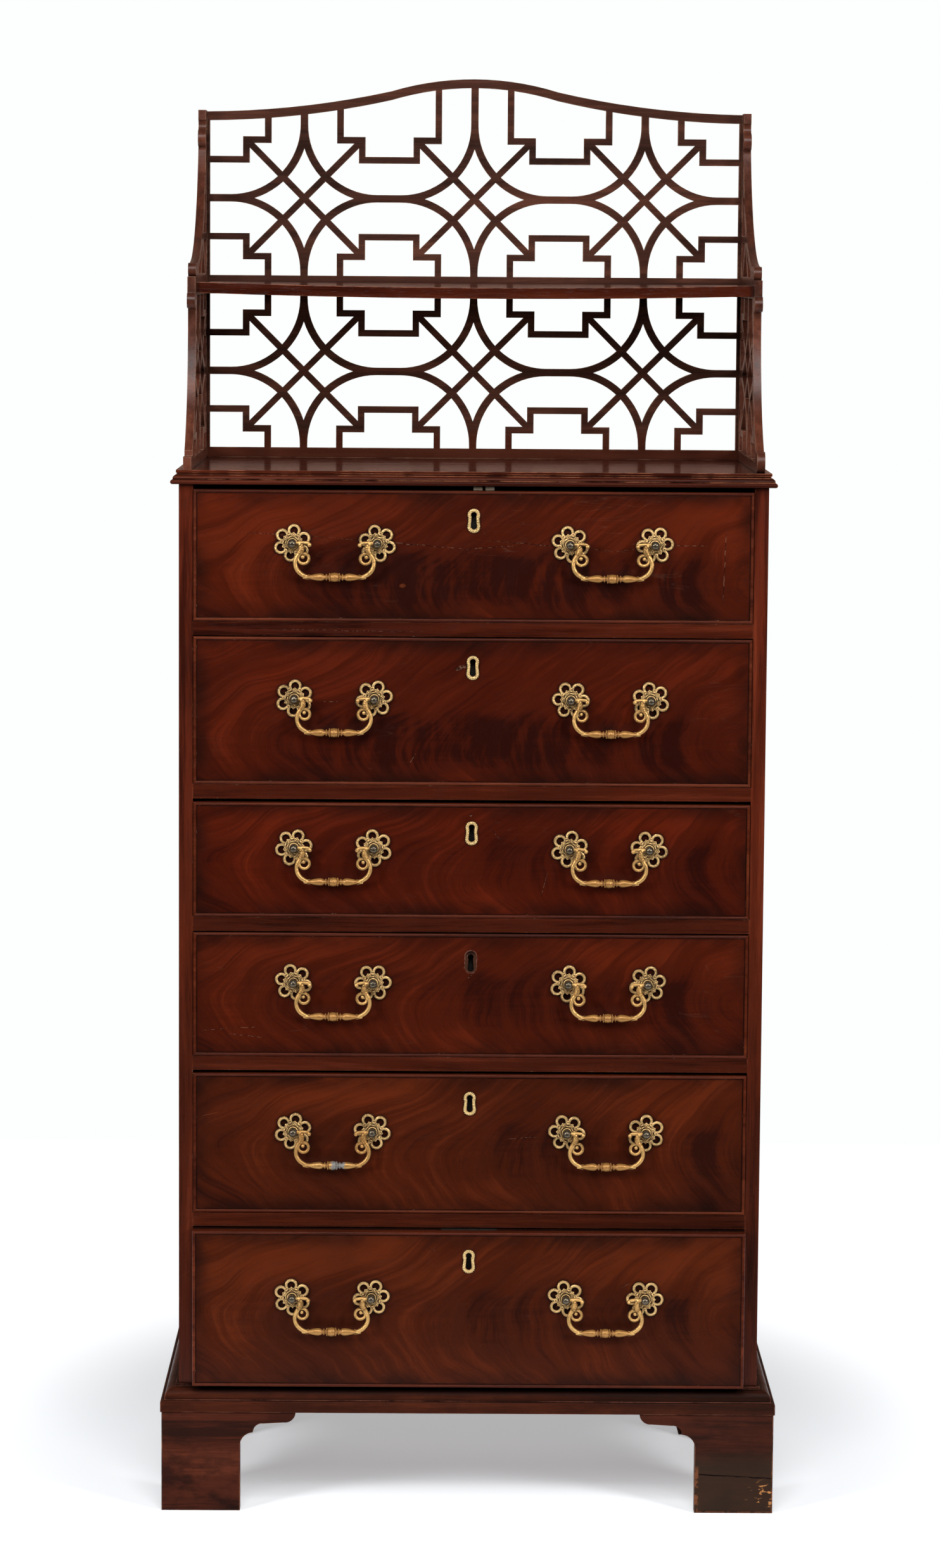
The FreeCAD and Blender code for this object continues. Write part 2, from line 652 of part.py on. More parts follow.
mitre = pocket(bracket, mitre_sketch, "bracket_mitre_cut")
mitre.Reversed = True
place(bracket, x="-" + corner_x, y=corner_y)
doc.recompute()
diagonal = Vector(1, -1, 0)
left_side_bracket = mirrored("left_side_bracket", bracket, diagonal, x="-" + corner_x, y=corner_y)
right_front_bracket = mirrored("right_front_bracket", bracket, Vector(1, 0, 0))
right_side_bracket = mirrored("right_side_bracket", left_side_bracket, Vector(1, 0, 0))
keep(group("front_feet", [bracket, left_side_bracket, right_front_bracket, right_side_bracket]), "front_feet")

back_line = "(case_depth - bracket_inset)"
middle_depth = "(%s + %s) / 2" % (corner_y, back_line)
rear_left_side = mirrored("rear_left_side", left_side_bracket, Vector(0, 1, 0), y=middle_depth)
rear_right_side = mirrored("rear_right_side", right_side_bracket, Vector(0, 1, 0), y=middle_depth)
rear_plain = padded("rear_plain_bracket", "XZ_Plane", (
    ("0", "0"), ("foot_width", "0"), ("rear_bracket_length", "feet_height"), ("0", "feet_height")),
    "bracket_thickness", reverse=True)
rear_mitre_sketch = sketch_on(rear_plain, "rear_mitre", "XY_Plane")
outline(rear_mitre_sketch, (("0", "0"), ("bracket_thickness", "0"), ("0", "bracket_thickness")))
doc.recompute()
rear_mitre = pocket(rear_plain, rear_mitre_sketch, "rear_mitre_cut")
rear_mitre.Reversed = True
place(rear_plain, x="-" + corner_x, y="%s - bracket_thickness" % back_line)
rear_plain_right = mirrored("rear_plain_right", rear_plain, Vector(1, 0, 0))
keep(group("rear_feet", [rear_left_side, rear_right_side, rear_plain, rear_plain_right]), "rear_feet")

blocks = []
block_near = "%s + bracket_thickness" % corner_y
block_far = "%s - bracket_thickness - block_width" % back_line
for name, x, y in (("front_left", "-%s + bracket_thickness" % corner_x, block_near),
                   ("front_right", "%s - bracket_thickness - block_width" % corner_x, block_near),
                   ("rear_left", "-%s + bracket_thickness" % corner_x, block_far),
                   ("rear_right", "%s - bracket_thickness - block_width" % corner_x, block_far)):
    blocks.append(board("foot_block_" + name, x, y, "block_lift", "block_width", "block_width",
                        "feet_height - block_lift"))
keep(group("foot_blocks", blocks), "foot_blocks")


# Drawers. Each is drawn from the middle of its lower front edge.

def drawer_places(number):
    shift = " - bottom_drawer_ajar" if number == drawer_count else ""
    return front_plane + shift, opening_floor(number) + " + seat_gap"


def handle_width(number):
    return "top_handle_span" if number == 1 else "handle_span"


def handle_posts(number):
    return [(side, "%d * handle_offset + %d * %s / 2" % (side, end, handle_width(number)))
            for side in (-1, 1) for end in (-1, 1)]


def post_level(height):
    return "%s / 2 + handle_rise" % height


def keyhole_outline(sketch, level, radius, waist, foot, length):
    # a round head over a waist that widens to a rounded foot
    reach = "sqrt({0} ^ 2 - {1} ^ 2 / 4)".format(radius, waist)
    foot_level = "%s - %s + %s * %s" % (level, length, foot, foot_round_share)
    outline(sketch, (
        ("-%s / 2" % foot, foot_level, "0", "%s - %s" % (level, length)),
        ("%s / 2" % foot, foot_level),
        ("%s / 2" % waist, "%s - %s" % (level, reach), "0", "%s + %s" % (level, radius)),
        ("-%s / 2" % waist, "%s - %s" % (level, reach)),
    ))


def drawer_front(number):
    height = "drawer_%d_height" % number
    half = "%s / 2" % drawer_width
    name = "drawer_%d_front" % number
    body = padded(name, "XZ_Plane", (("-" + half, "0"), (half, "0"), (half, height), ("-" + half, height)),
                  "front_thickness", reverse=True)
    doc.recompute()
    rebate = sketch_on(body, name + "_rebate", "XZ_Plane")
    rectangle(rebate, "-%s - overrun" % half, "-overrun", half + " + overrun", height + " + overrun")
    rectangle(rebate, "-%s + bead_width" % half, "bead_width", half + " - bead_width",
              height + " - bead_width")
    pocket(body, rebate, name + "_rebate_cut", "bead_depth")
    holes = sketch_on(body, name + "_holes", "XZ_Plane")
    for side, x in handle_posts(number):
        disc(holes, x, post_level(height), "post_radius + post_play")
    pocket(body, holes, name + "_post_holes")
    keyhole = sketch_on(body, name + "_keyhole", "XZ_Plane")
    keyhole_outline(keyhole, height + " - keyhole_drop", "keyhole_radius", "keyhole_waist", "keyhole_foot",
                    "keyhole_length")
    pocket(body, keyhole, name + "_keyhole_cut")
    mortise = sketch_on(body, name + "_mortise", "XZ_Plane", "-(front_thickness - lock_thickness)")
    rectangle(mortise, "-lock_width / 2 - lock_play", height + " - lock_height - lock_play",
              "lock_width / 2 + lock_play", height + " + overrun")
    pocket(body, mortise, name + "_mortise_cut")
    return body


def drawer_box(number):
    height = "drawer_%d_height" % number
    name = "drawer_%d_" % number
    length = "drawer_length - front_thickness"
    between = "%s - 2 * lining_thickness" % drawer_width
    left = "-%s / 2" % drawer_width
    side_height = height + " - lining_drop"
    floor_top = "drawer_bottom_lift + drawer_bottom_thickness"
    pieces = [
        board(name + "left", left, "front_thickness", "0", "lining_thickness", length, side_height),
        board(name + "right", "%s / 2 - lining_thickness" % drawer_width, "front_thickness", "0",
              "lining_thickness", length, side_height),
        board(name + "back", left + " + lining_thickness", "drawer_length - drawer_back_thickness", floor_top,
              between, "drawer_back_thickness", "%s - drawer_back_drop - (%s)" % (height, floor_top)),
        board(name + "bottom", left + " + lining_thickness", "front_thickness", "drawer_bottom_lift",
              between, length, "drawer_bottom_thickness"),
    ]
    return group(name + "box", pieces)


def bead_strip(length):
    # one strip along X: a round nose in front, both ends mitred towards its inner edge
    width = value("bead_width")
    nose = value("bead_width / 2 - bead_proud")
    back = value("bead_depth")
    edges = [
        Part.makeLine(Vector(0, back, 0), Vector(0, nose, 0)),
        Part.Arc(Vector(0, nose, 0), Vector(0, -value("bead_proud"), width / 2),
                 Vector(0, nose, width)).toShape(),
        Part.makeLine(Vector(0, nose, width), Vector(0, back, width)),
        Part.makeLine(Vector(0, back, width), Vector(0, back, 0)),
    ]
    run = Part.Face(Part.Wire(edges)).extrude(Vector(length, 0, 0))
    run.translate(Vector(-length / 2, 0, 0))
    front = -value("bead_proud + overrun")
    plan = Part.makePolygon([
        Vector(-length / 2, front, 0), Vector(length / 2, front, 0),
        Vector(length / 2 - width, front, width), Vector(-length / 2 + width, front, width),
        Vector(-length / 2, front, 0)])
    mitres = Part.Face(plan).extrude(Vector(0, value("bead_depth + bead_proud + 2 * overrun"), 0))
    return run.common(mitres).Solids[0]


def cockbead(number):
    width = value(drawer_width)
    height = value("drawer_%d_height" % number)
    across_axis = Vector(0, 1, 0)
    lower = bead_strip(width)
    upper = bead_strip(width)
    upper.rotate(Vector(0, 0, 0), across_axis, 180)
    upper.translate(Vector(0, 0, height))
    left = bead_strip(height)
    left.rotate(Vector(0, 0, 0), across_axis, 90)
    left.translate(Vector(-width / 2, 0, height / 2))
    right = bead_strip(height)
    right.rotate(Vector(0, 0, 0), across_axis, -90)
    right.translate(Vector(width / 2, 0, height / 2))
    item = doc.addObject("Part::Feature", "drawer_%d_cockbead" % number)
    item.Shape = Part.Compound([lower, upper, left, right])
    return item


# Brasses: pierced rosettes, ball-headed posts and their nuts

def rosette_shape():
    face = Part.Face(Part.Wire(Part.makeCircle(value("hub_radius"))))
    lobes = []
    eyes = []
    loop_count = 6
    for number in range(loop_count):
        turn = math.radians(360 * number / loop_count)
        centre = Vector(math.cos(turn), math.sin(turn), 0) * value("loop_circle")
        lobes.append(Part.Face(Part.Wire(Part.makeCircle(value("loop_radius"), centre))))
        eyes.append(Part.Face(Part.Wire(Part.makeCircle(value("loop_eye"), centre))))
    eyes.append(Part.Face(Part.Wire(Part.makeCircle(value("post_radius + post_play")))))
    plate = face.multiFuse(lobes).removeSplitter().cut(eyes)
    solid = plate.extrude(Vector(0, 0, value("rosette_thickness"))).Solids[0]
    # the plate stands upright with its back on the drawer face
    solid.rotate(Vector(0, 0, 0), Vector(1, 0, 0), 90)
    return solid


def post_shape():
    standoff = value("pivot_standoff")
    tail = value("front_thickness + post_tail")
    shank = Part.makeCylinder(value("post_radius"), standoff + tail, Vector(0, -standoff, 0), Vector(0, 1, 0))
    ball = Part.makeSphere(value("ball_radius"), Vector(0, -standoff, 0))
    reach = value("ball_radius + overrun")
    bore = Part.makeCylinder(value("pin_radius + pin_play"), 2 * reach, Vector(-reach, -standoff, 0),
                             Vector(1, 0, 0))
    return shank.fuse(ball).removeSplitter().cut(bore).Solids[0]


def nut_shape():
    width = value("nut_width")
    block = Part.makeBox(width, value("nut_thickness"), width,
                         Vector(-width / 2, value("front_thickness"), -width / 2))
    bore = Part.makeCylinder(value("post_radius"), value("nut_thickness + 2 * overrun"),
                             Vector(0, value("front_thickness - overrun"), 0), Vector(0, 1, 0))
    return block.cut(bore).Solids[0]


def escutcheon(number):
    level = "drawer_%d_height - keyhole_drop" % number
    name = "drawer_%d_escutcheon" % number
    body = doc.addObject("PartDesign::Body", name)
    sketch = sketch_on(body, name + "_outline", "XZ_Plane")
    head = "escutcheon_width / 2"
    keyhole_outline(sketch, level, "(%s)" % head, "escutcheon_waist", "escutcheon_foot",
                    "(escutcheon_height - %s)" % head)
    keyhole_outline(sketch, level, "keyhole_radius", "keyhole_waist", "keyhole_foot", "keyhole_length")
    pad = body.newObject("PartDesign::Pad", name + "_pad")
    pad.Profile = sketch
    bind(pad, Length="escutcheon_thickness")
    return body


def lock_case(number):
    height = "drawer_%d_height" % number
    name = "drawer_%d_lock" % number
    front = "front_thickness - lock_thickness"
    blank = board(name + "_blank", "-lock_width / 2", front, height + " - lock_height",
                  "lock_width", "lock_thickness", "lock_height")
    slot_depth = "bolt_length + bolt_throw + bolt_play"
    slot = board(name + "_slot", "bolt_offset - bolt_width / 2 - bolt_play",
                 front + " + bolt_setback - bolt_play",
                 "%s - (%s)" % (height, slot_depth), "bolt_width + 2 * bolt_play",
                 "bolt_thickness + 2 * bolt_play", slot_depth + " + overrun")
    return cut(name, blank, slot)


def lock_bolt(number):
    tip = "drawer_{0}_height + head_gap_{0} - bolt_tip_gap".format(number)
    foot = tip + " - bolt_length"
    prong = tip + " - fork_depth"
    left = "bolt_offset - bolt_width / 2"
    right = "bolt_offset + bolt_width / 2"
    inner_left = "bolt_offset - fork_gap / 2"
    inner_right = "bolt_offset + fork_gap / 2"
    return padded("drawer_%d_lock_bolt" % number, "XZ_Plane", (
        (left, foot), (right, foot), (right, tip), (inner_right, tip), (inner_right, prong),
        (inner_left, prong), (inner_left, tip), (left, tip)), "bolt_thickness", reverse=True,
        offset="-(front_thickness - lock_thickness + bolt_setback)")


rosette = rosette_shape()
post = post_shape()
nut = nut_shape()


def handle_mounts(number):
    # rosettes, posts and nuts of a drawer's two handles
    level = value(post_level("drawer_%d_height" % number))
    solids = []
    for side, x in handle_posts(number):
        for shape in (rosette, post, nut):
            solids.append(shape.translated(Vector(value(x), 0, level)))
    item = doc.addObject("Part::Feature", "drawer_%d_handle_mounts" % number)
    item.Shape = Part.Compound(solids)
    return item


# Bails: a rod bent into a scroll and a swan neck at each end, with a turned grip

def rounded_path(corners, radii):
    # straight runs joined by tangent arcs
    edges = []
    start = corners[0]
    for before, corner, after, radius in zip(corners, corners[1:], corners[2:], radii):
        way_in = (before - corner).normalize()
        way_out = (after - corner).normalize()
        half_turn = way_in.getAngle(way_out) / 2
        back = radius / math.tan(half_turn)
        first = corner + way_in * back
        last = corner + way_out * back
        middle = (way_in + way_out).normalize()
        via = corner + middle * (radius / math.sin(half_turn) - radius)
        if (first - start).Length > 0:
            edges.append(Part.makeLine(start, first))
        edges.append(Part.Arc(first, via, last).toShape())
        start = last
    edges.append(Part.makeLine(start, corners[-1]))
    return Part.Wire(edges)


def bail_shape(span):
    # in the plane of the two posts, with the pins along X through the origin
    post_x = value(span) / 2
    root = post_x - value("ball_radius + bail_start")
    hook = root - value("hook_run")
    neck = post_x - value("neck_inset")
    drop = value("bail_drop")
    right_half = [Vector(root, 0, 0), Vector(hook, 0, 0), Vector(hook, 0, -value("hook_drop")),
                  Vector(neck, 0, -value("neck_top")), Vector(neck, 0, -drop)]
    left_half = [Vector(-spot.x, 0, spot.z) for spot in reversed(right_half)]
    bends = [value("hook_bend"), value("scroll_bend"), value("scroll_bend"), value("neck_bend")]
    path = rounded_path(right_half + left_half, bends + bends[::-1])
    radius = value("bail_radius")
    section = Part.Wire(Part.makeCircle(radius, right_half[0], Vector(1, 0, 0)))
    rod = path.makePipeShell([section], True, False)
    pieces = []
    for side in (-1, 1):
        tip = side * (post_x + value("ball_radius - pin_end"))
        inside = side * (root - radius)
        pieces.append(Part.makeCylinder(value("pin_radius"), abs(tip - inside), Vector(inside, 0, 0),
                                        Vector(side, 0, 0)))
        ring = Vector(side * (post_x - value("ring_inset")), 0, -value("ring_drop"))
        pieces.append(Part.makeTorus(value("ring_radius"), value("ring_rod"), ring, Vector(0, 1, 0)))
        knob = Vector(side * (post_x - value("knob_inset")), 0, -value("knob_drop"))
        bend = Vector(side * hook, 0, 0)
        pieces.append(Part.makeCylinder(value("ring_rod"), (knob - bend).Length, bend, knob - bend))
        pieces.append(Part.makeSphere(value("knob_radius"), knob))
    pieces.append(grip_shape(drop))
    return rod.multiFuse(pieces).removeSplitter().Solids[0]


def grip_shape(drop):
    # turned grip: a ribbed bead between two balusters
    bead_half = value("bead_length / 2")
    length = value("baluster_length")
    rod = value("bail_radius")
    swell = value("baluster_radius")
    bead = value("bead_radius")
    waist = rod + (swell - rod) * (1 - neck_waist_share)
    ends = [(-bead_half - length, rod), (-bead_half, waist), (bead_half, waist), (bead_half + length, rod)]
    bulges = [(-bead_half - length / 2, swell), (0, bead), (bead_half + length / 2, swell)]
    edges = []
    for (x0, r0), (xm, rm), (x1, r1) in zip(ends, bulges, ends[1:]):
        edges.append(Part.Arc(Vector(x0, 0, r0), Vector(xm, 0, rm), Vector(x1, 0, r1)).toShape())
    first = Vector(ends[0][0], 0, 0)
    last = Vector(ends[-1][0], 0, 0)
    edges.append(Part.makeLine(Vector(ends[-1][0], 0, rod), last))
    edges.append(Part.makeLine(last, first))
    edges.append(Part.makeLine(first, Vector(ends[0][0], 0, rod)))
    grip = Part.Face(Part.Wire(edges)).revolve(Vector(0, 0, 0), Vector(1, 0, 0), 360)
    grip.translate(Vector(0, 0, -drop))
    return grip


bails = {span: bail_shape(span) for span in ("handle_span", "top_handle_span")}

for number in drawer_numbers:
    height = "drawer_%d_height" % number
    place_y, place_z = drawer_places(number)
    prefix = "drawer_%d_" % number
    keep(drawer_front(number), prefix + "front", y=place_y, z=place_z)
    keep(drawer_box(number), prefix + "box", y=place_y, z=place_z)
    keep(cockbead(number), prefix + "cockbead", y=place_y, z=place_z)
    brasses = [handle_mounts(number), lock_case(number)]
    if number != lost_escutcheon:
        brasses.append(escutcheon(number))
    keep(group(prefix + "brasses", brasses), prefix + "brasses", y=place_y, z=place_z)
    keep(lock_bolt(number), prefix + "lock_bolt", y=place_y, z=place_z)
    for side, word in ((-1, "left"), (1, "right")):
        item = doc.addObject("Part::Feature", prefix + "bail_" + word)
        item.Shape = bails[handle_width(number)]
        place(item, x="%d * handle_offset" % side)
        keep(item, prefix + "bail_" + word, y=place_y + " - pivot_standoff",
             z="%s + %s" % (place_z, post_level(height)))


# Gallery fret: faces drawn flat, X along the board and Y up, then given their thickness

def outline_face(corners):
    # corners as (x, y), or (x, y, x and y of a point on the arc that leaves it)
    edges = []
    for corner, after in zip(corners, corners[1:] + corners[:1]):
        start = Vector(corner[0], corner[1], 0)
        stop = Vector(after[0], after[1], 0)
        if len(corner) == 2:
            edges.append(Part.makeLine(start, stop))
        else:
            edges.append(Part.Arc(start, Vector(corner[2], corner[3], 0), stop).toShape())
    return Part.Face(Part.Wire(edges))


def bar(x0, y0, x1, y1, width, square=0):
    # straight bar between two points, run on by square at both ends
    start = Vector(x0, y0, 0)
    stop = Vector(x1, y1, 0)
    along = (stop - start).normalize()
    start = start - along * square
    stop = stop + along * square
    beside = Vector(-along.y, along.x, 0) * (width / 2)
    corners = [start + beside, start - beside, stop - beside, stop + beside]
    return Part.Face(Part.makePolygon(corners + corners[:1]))


def quarter_arc(x, y, side, rise, reach, height, width):
    # quarter of a ring whose centre is (x, y) and which bends round the cell's middle
    rings = []
    for change in (width / 2, -width / 2):
        ring = Part.Ellipse(Vector(x, y, 0), max(reach, height) + change, min(reach, height) + change)
        if height > reach:
            ring.rotate(FreeCAD.Placement(Vector(x, y, 0), Vector(0, 0, 1), 90))
        rings.append(Part.Face(Part.Wire(ring.toShape())))
    far_x = x - side * (reach + width)
    far_y = y - rise * (height + width)
    limit = outline_face([(x, y), (far_x, y), (far_x, far_y), (x, far_y)])
    return rings[0].cut(rings[1]).common(limit)


def fret_cell(x, y, arc_reach, elbow, key_x, run_left, run_right, run_down, run_up):
    # one cell of the fret: four arcs, a saltire and a stepped key in each corner
    radius = value("arc_radius")
    arc_width = value("arc_bar")
    width = value("bar_width")
    elbow_y = value("elbow_reach")
    key_y = value("key_level")
    half = width / 2
    bars = [bar(x - elbow, y - elbow_y, x + elbow, y + elbow_y, width),
            bar(x - elbow, y + elbow_y, x + elbow, y - elbow_y, width)]
    for side, run in ((-1, run_left), (1, run_right)):
        bars.append(bar(x + side * arc_reach, y, run, y, arc_width))
        for rise, end in ((-1, run_down), (1, run_up)):
            bars.append(quarter_arc(x + side * arc_reach, y + rise * radius, side, rise, arc_reach, radius,
                                    arc_width))
            elbow_x = x + side * elbow
            key_line = x + side * key_x
            inner_level = y + rise * key_y
            outer_level = y + rise * elbow_y
            bars.append(bar(elbow_x, inner_level, run, inner_level, width, half))
            bars.append(bar(elbow_x, inner_level, elbow_x, outer_level, width, half))
            bars.append(bar(elbow_x, outer_level, key_line, outer_level, width, half))
            bars.append(bar(key_line, outer_level, key_line, end, width, half))
    for rise, end in ((-1, run_down), (1, run_up)):
        bars.append(bar(x, y + rise * radius, x, end, arc_width))
    return bars


def pierced(plate, openings, bars):
    lattice = bars[0].multiFuse(bars[1:])
    holes = []
    for opening in openings:
        holes += opening.cut(lattice).Faces
    board_face = plate.cut(holes)
    return board_face.extrude(Vector(0, 0, value("gallery_thickness"))).Solids[0]


def crest_edge(half, level):
    # serpentine top edge from right to left: a swell between two hollow shoulders
    turn = value("crest_half")
    rise = value("crest_rise")
    turn_level = level + rise * crest_turn_share
    shoulder = turn + (half - turn) * crest_shoulder_share
    shoulder_level = level + rise * crest_shoulder_rise_share
    return [
        (half, level, shoulder, shoulder_level),
        (turn, turn_level, 0, level + rise),
        (-turn, turn_level, -shoulder, shoulder_level),
        (-half, level),
    ]


def gallery_back():
    half = value("gallery_width / 2")
    clear = half - value("frame_width")
    ends = value(crest_ends)
    plate = outline_face([(-half, 0), (half, 0)] + crest_edge(half, ends))
    lower_floor = value("fret_base")
    lower_head = lower_floor + value("fret_height")
    upper_floor = lower_head + value("middle_rail")
    upper_head = ends - value("crest_rail")
    openings = [
        outline_face([(-clear, lower_floor), (clear, lower_floor), (clear, lower_head),
                      (-clear, lower_head)]),
        outline_face([(-clear, upper_floor), (clear, upper_floor)] + crest_edge(clear, upper_head)),
    ]
    bars = []
    columns = (-1, 0, 1)
    pitch = value("gallery_width - 2 * fret_margin") / len(columns)
    tiers = ((fret_centres[0], lower_floor, lower_head), (fret_centres[1], upper_floor, upper_head))
    for tier, (level, floor, head) in enumerate(tiers):
        # the upper bars run on behind the crest rail
        run_up = head + tier * value("crest_rise") + value("overrun")
        for column in columns:
            left = -half if column == -1 else (column - 0.5) * pitch
            right = half if column == 1 else (column + 0.5) * pitch
            bars += fret_cell(column * pitch, value(level), value("arc_radius"), value("elbow_reach"),
                              value("key_out"), left, right, floor - value("overrun"), run_up)
    item = doc.addObject("Part::Feature", "gallery_back")
    item.Shape = pierced(plate, openings, bars)
    item.Placement = FreeCAD.Placement(Vector(0, 0, 0), Vector(1, 0, 0), 90)
    return item


keep(gallery_back(), "gallery_back", y="%s + %s" % (front_plane, gallery_back_face), z=top_face)


def sweep(head, foot, run_share, rise_share):
    # the corner at the head of a hollow sweep down to its foot
    return head + (foot[0] + (head[0] - foot[0]) * run_share, foot[1] + (head[1] - foot[1]) * rise_share)


def side_outline(word):
    # a gallery side seen from its right: X from the case front to the back, Y up from the top board
    back = value(gallery_back_face)
    height = value(crest_ends + " + side_rise")
    block_foot = height - value("top_block_height")
    hollow_foot = block_foot - value("top_hollow")
    top_block = back - value("top_block_depth")
    upper_head = (back - value("upper_sweep_depth"), hollow_foot - value("top_scroll"))
    lip = value("shelf_level + shelf_thickness + block_lip")
    upper_foot = (value("upper_sweep_foot"), lip + value("upper_scroll"))
    shelf = value("shelf_level")
    block = value("shelf_block_front")
    lower_head = (value("lower_sweep_top"), shelf - value("shelf_scroll"))
    lower_foot = (value("lower_sweep_foot" if word == "right" else "foot_block_step"), value("foot_scroll"))
    top_scroll_front = back - value("top_scroll_depth")
    top_roll = top_scroll_front + value("top_scroll / 2")
    upper_roll = value("upper_scroll_front + upper_scroll / 2")
    shelf_roll = value("shelf_scroll_front + shelf_scroll / 2")
    corners = [
        (back, 0),
        (back, height),
        (top_block, height),
        (top_block, block_foot, top_block + value("hollow_depth"), block_foot - value("top_hollow / 2")),
        (top_block, hollow_foot),
        (top_roll, hollow_foot, top_scroll_front, hollow_foot - value("top_scroll / 2")),
        (top_roll, upper_head[1]),
        sweep(upper_head, upper_foot, upper_sweep_run_share, upper_sweep_rise_share),
        upper_foot,
        (upper_roll, upper_foot[1], value("upper_scroll_front"), lip + value("upper_scroll / 2")),
        (upper_roll, lip),
        (block, lip),
        (block, shelf),
        (shelf_roll, shelf, value("shelf_scroll_front"), shelf - value("shelf_scroll / 2")),
        (shelf_roll, lower_head[1]),
        sweep(lower_head, lower_foot, lower_sweep_run_share, lower_sweep_rise_share),
    ]
    if word == "right":
        corners.append(lower_foot + (value("gallery_front"), value("foot_scroll / 2")))
        corners.append((value("foot_scroll_heel"), 0))
    else:
        corners.append(lower_foot)
        corners.append((lower_foot[0], value("foot_block_height")))
        corners.append((value("foot_block_front"), value("foot_block_height")))
        corners.append((value("foot_block_front"), 0))
    return corners, upper_head, lower_head


def gallery_side(word):
    corners, upper_head, lower_head = side_outline(word)
    back = value(gallery_back_face)
    back_edge = value(gallery_front_face + " - side_back_frame")
    edge = value("side_front_frame")
    floor = value("fret_base")
    head = floor + value("fret_height")
    inner_head = (lower_head[0] + edge, lower_head[1])
    inner_foot = (value("lower_sweep_foot") + edge, value("foot_scroll"))
    lower = outline_face([
        (inner_foot[0], floor),
        (back_edge, floor),
        (back_edge, head),
        (inner_head[0], head),
        sweep(inner_head, inner_foot, lower_sweep_run_share, lower_sweep_rise_share),
        inner_foot,
    ])
    upper_floor = value("shelf_level + shelf_thickness + block_lip + upper_sill")
    upper_foot = (value("upper_opening_front"), upper_floor + value("upper_opening_end"))
    upper_top = (back_edge, upper_head[1] - value("upper_opening_drop"))
    upper = outline_face([
        (upper_foot[0], upper_floor),
        (back_edge, upper_floor),
        sweep(upper_top, upper_foot, upper_opening_run_share, upper_opening_rise_share),
        upper_foot,
    ])
    overrun = value("overrun")
    bars = fret_cell(back - value("side_cell_depth"), value(fret_centres[0]), value("side_arc_reach"),
                     value("side_elbow_reach"), value("side_key_out"), 0, back, floor - overrun,
                     head + overrun)
    width = value("bar_width")
    level = upper_floor + value("upper_bar_rise")
    top = back - value("strut_depth")
    bars.append(bar(0, level, back, level, width))
    for side in (-1, 1):
        bars.append(bar(top, level, top + side * value("strut_run"), upper_floor, width, overrun))
    item = doc.addObject("Part::Feature", "gallery_side_" + word)
    item.Shape = pierced(outline_face(corners), [lower, upper], bars)
    # the board stands up: its length runs back, its height up and its thickness to the right
    item.Placement = FreeCAD.Placement(Vector(0, 0, 0), FreeCAD.Rotation(Vector(1, 1, 1), 120))
    return item


for word, x in (("left", "-gallery_width / 2 - gallery_thickness"), ("right", "gallery_width / 2")):
    keep(gallery_side(word), "gallery_side_" + word, z=top_face)
    place(nodes[-1], x=x)


# Shelf: its back edge is straight, its front edge has sagged

def shelf_section(name, depth, sag):
    sketch = doc.addObject("Sketcher::SketchObject", name)
    half = "gallery_width / 2"
    if sag:
        corners = (("-" + half, "0", "0", "-shelf_sag"), (half, "0"),
                   (half, "shelf_thickness", "0", "shelf_thickness - shelf_sag"),
                   ("-" + half, "shelf_thickness"))
    else:
        corners = (("-" + half, "0"), (half, "0"), (half, "shelf_thickness"), ("-" + half, "shelf_thickness"))
    outline(sketch, corners)
    sketch.Placement = FreeCAD.Placement(Vector(0, 0, 0), Vector(1, 0, 0), 90)
    place(sketch, y=depth)
    return sketch


shelf = doc.addObject("Part::Loft", "gallery_shelf")
shelf.Sections = [shelf_section("shelf_front_edge", "shelf_front", True),
                  shelf_section("shelf_back_edge", gallery_front_face, False)]
shelf.Solid = True
shelf.Ruled = True
keep(shelf, "gallery_shelf", z="%s + shelf_level" % top_face)

doc.recompute()


# Nothing is written unless every object and every piece is sound

def check_and_export():
    failed = [item.Label for item in doc.Objects if "Invalid" in item.State or "Error" in item.State]
    if failed:
        raise RuntimeError("failed objects: " + ", ".join(failed))
    for item in nodes:
        if item.Shape.isNull() or not item.Shape.isValid():
            raise RuntimeError("bad shape: " + item.Label)
    os.makedirs("parts", exist_ok=True)
    for item in nodes:
        item.Shape.exportStep("parts/%s.step" % item.Label)
        print("%-24s %2d solids %12.1f mm3" % (item.Label, len(item.Shape.Solids), item.Shape.Volume))


check_and_export()
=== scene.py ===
import bpy
import json
import math
from mathutils import Matrix, Vector


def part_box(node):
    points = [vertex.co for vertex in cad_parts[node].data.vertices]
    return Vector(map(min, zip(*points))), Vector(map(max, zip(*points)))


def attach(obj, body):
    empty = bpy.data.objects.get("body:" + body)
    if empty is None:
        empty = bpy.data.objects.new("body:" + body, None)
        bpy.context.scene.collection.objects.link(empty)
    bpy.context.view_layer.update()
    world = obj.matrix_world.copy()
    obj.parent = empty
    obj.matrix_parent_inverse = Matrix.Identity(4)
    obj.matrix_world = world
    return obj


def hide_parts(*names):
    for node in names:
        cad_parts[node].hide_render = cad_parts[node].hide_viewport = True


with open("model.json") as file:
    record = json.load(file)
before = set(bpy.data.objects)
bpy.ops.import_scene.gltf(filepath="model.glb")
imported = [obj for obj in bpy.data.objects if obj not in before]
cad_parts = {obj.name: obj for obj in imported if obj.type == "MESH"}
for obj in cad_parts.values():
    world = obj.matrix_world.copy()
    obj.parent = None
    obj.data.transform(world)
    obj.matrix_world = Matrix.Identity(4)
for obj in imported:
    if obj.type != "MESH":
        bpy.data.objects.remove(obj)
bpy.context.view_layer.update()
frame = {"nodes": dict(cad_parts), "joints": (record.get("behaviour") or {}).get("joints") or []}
nodes = frame["nodes"]
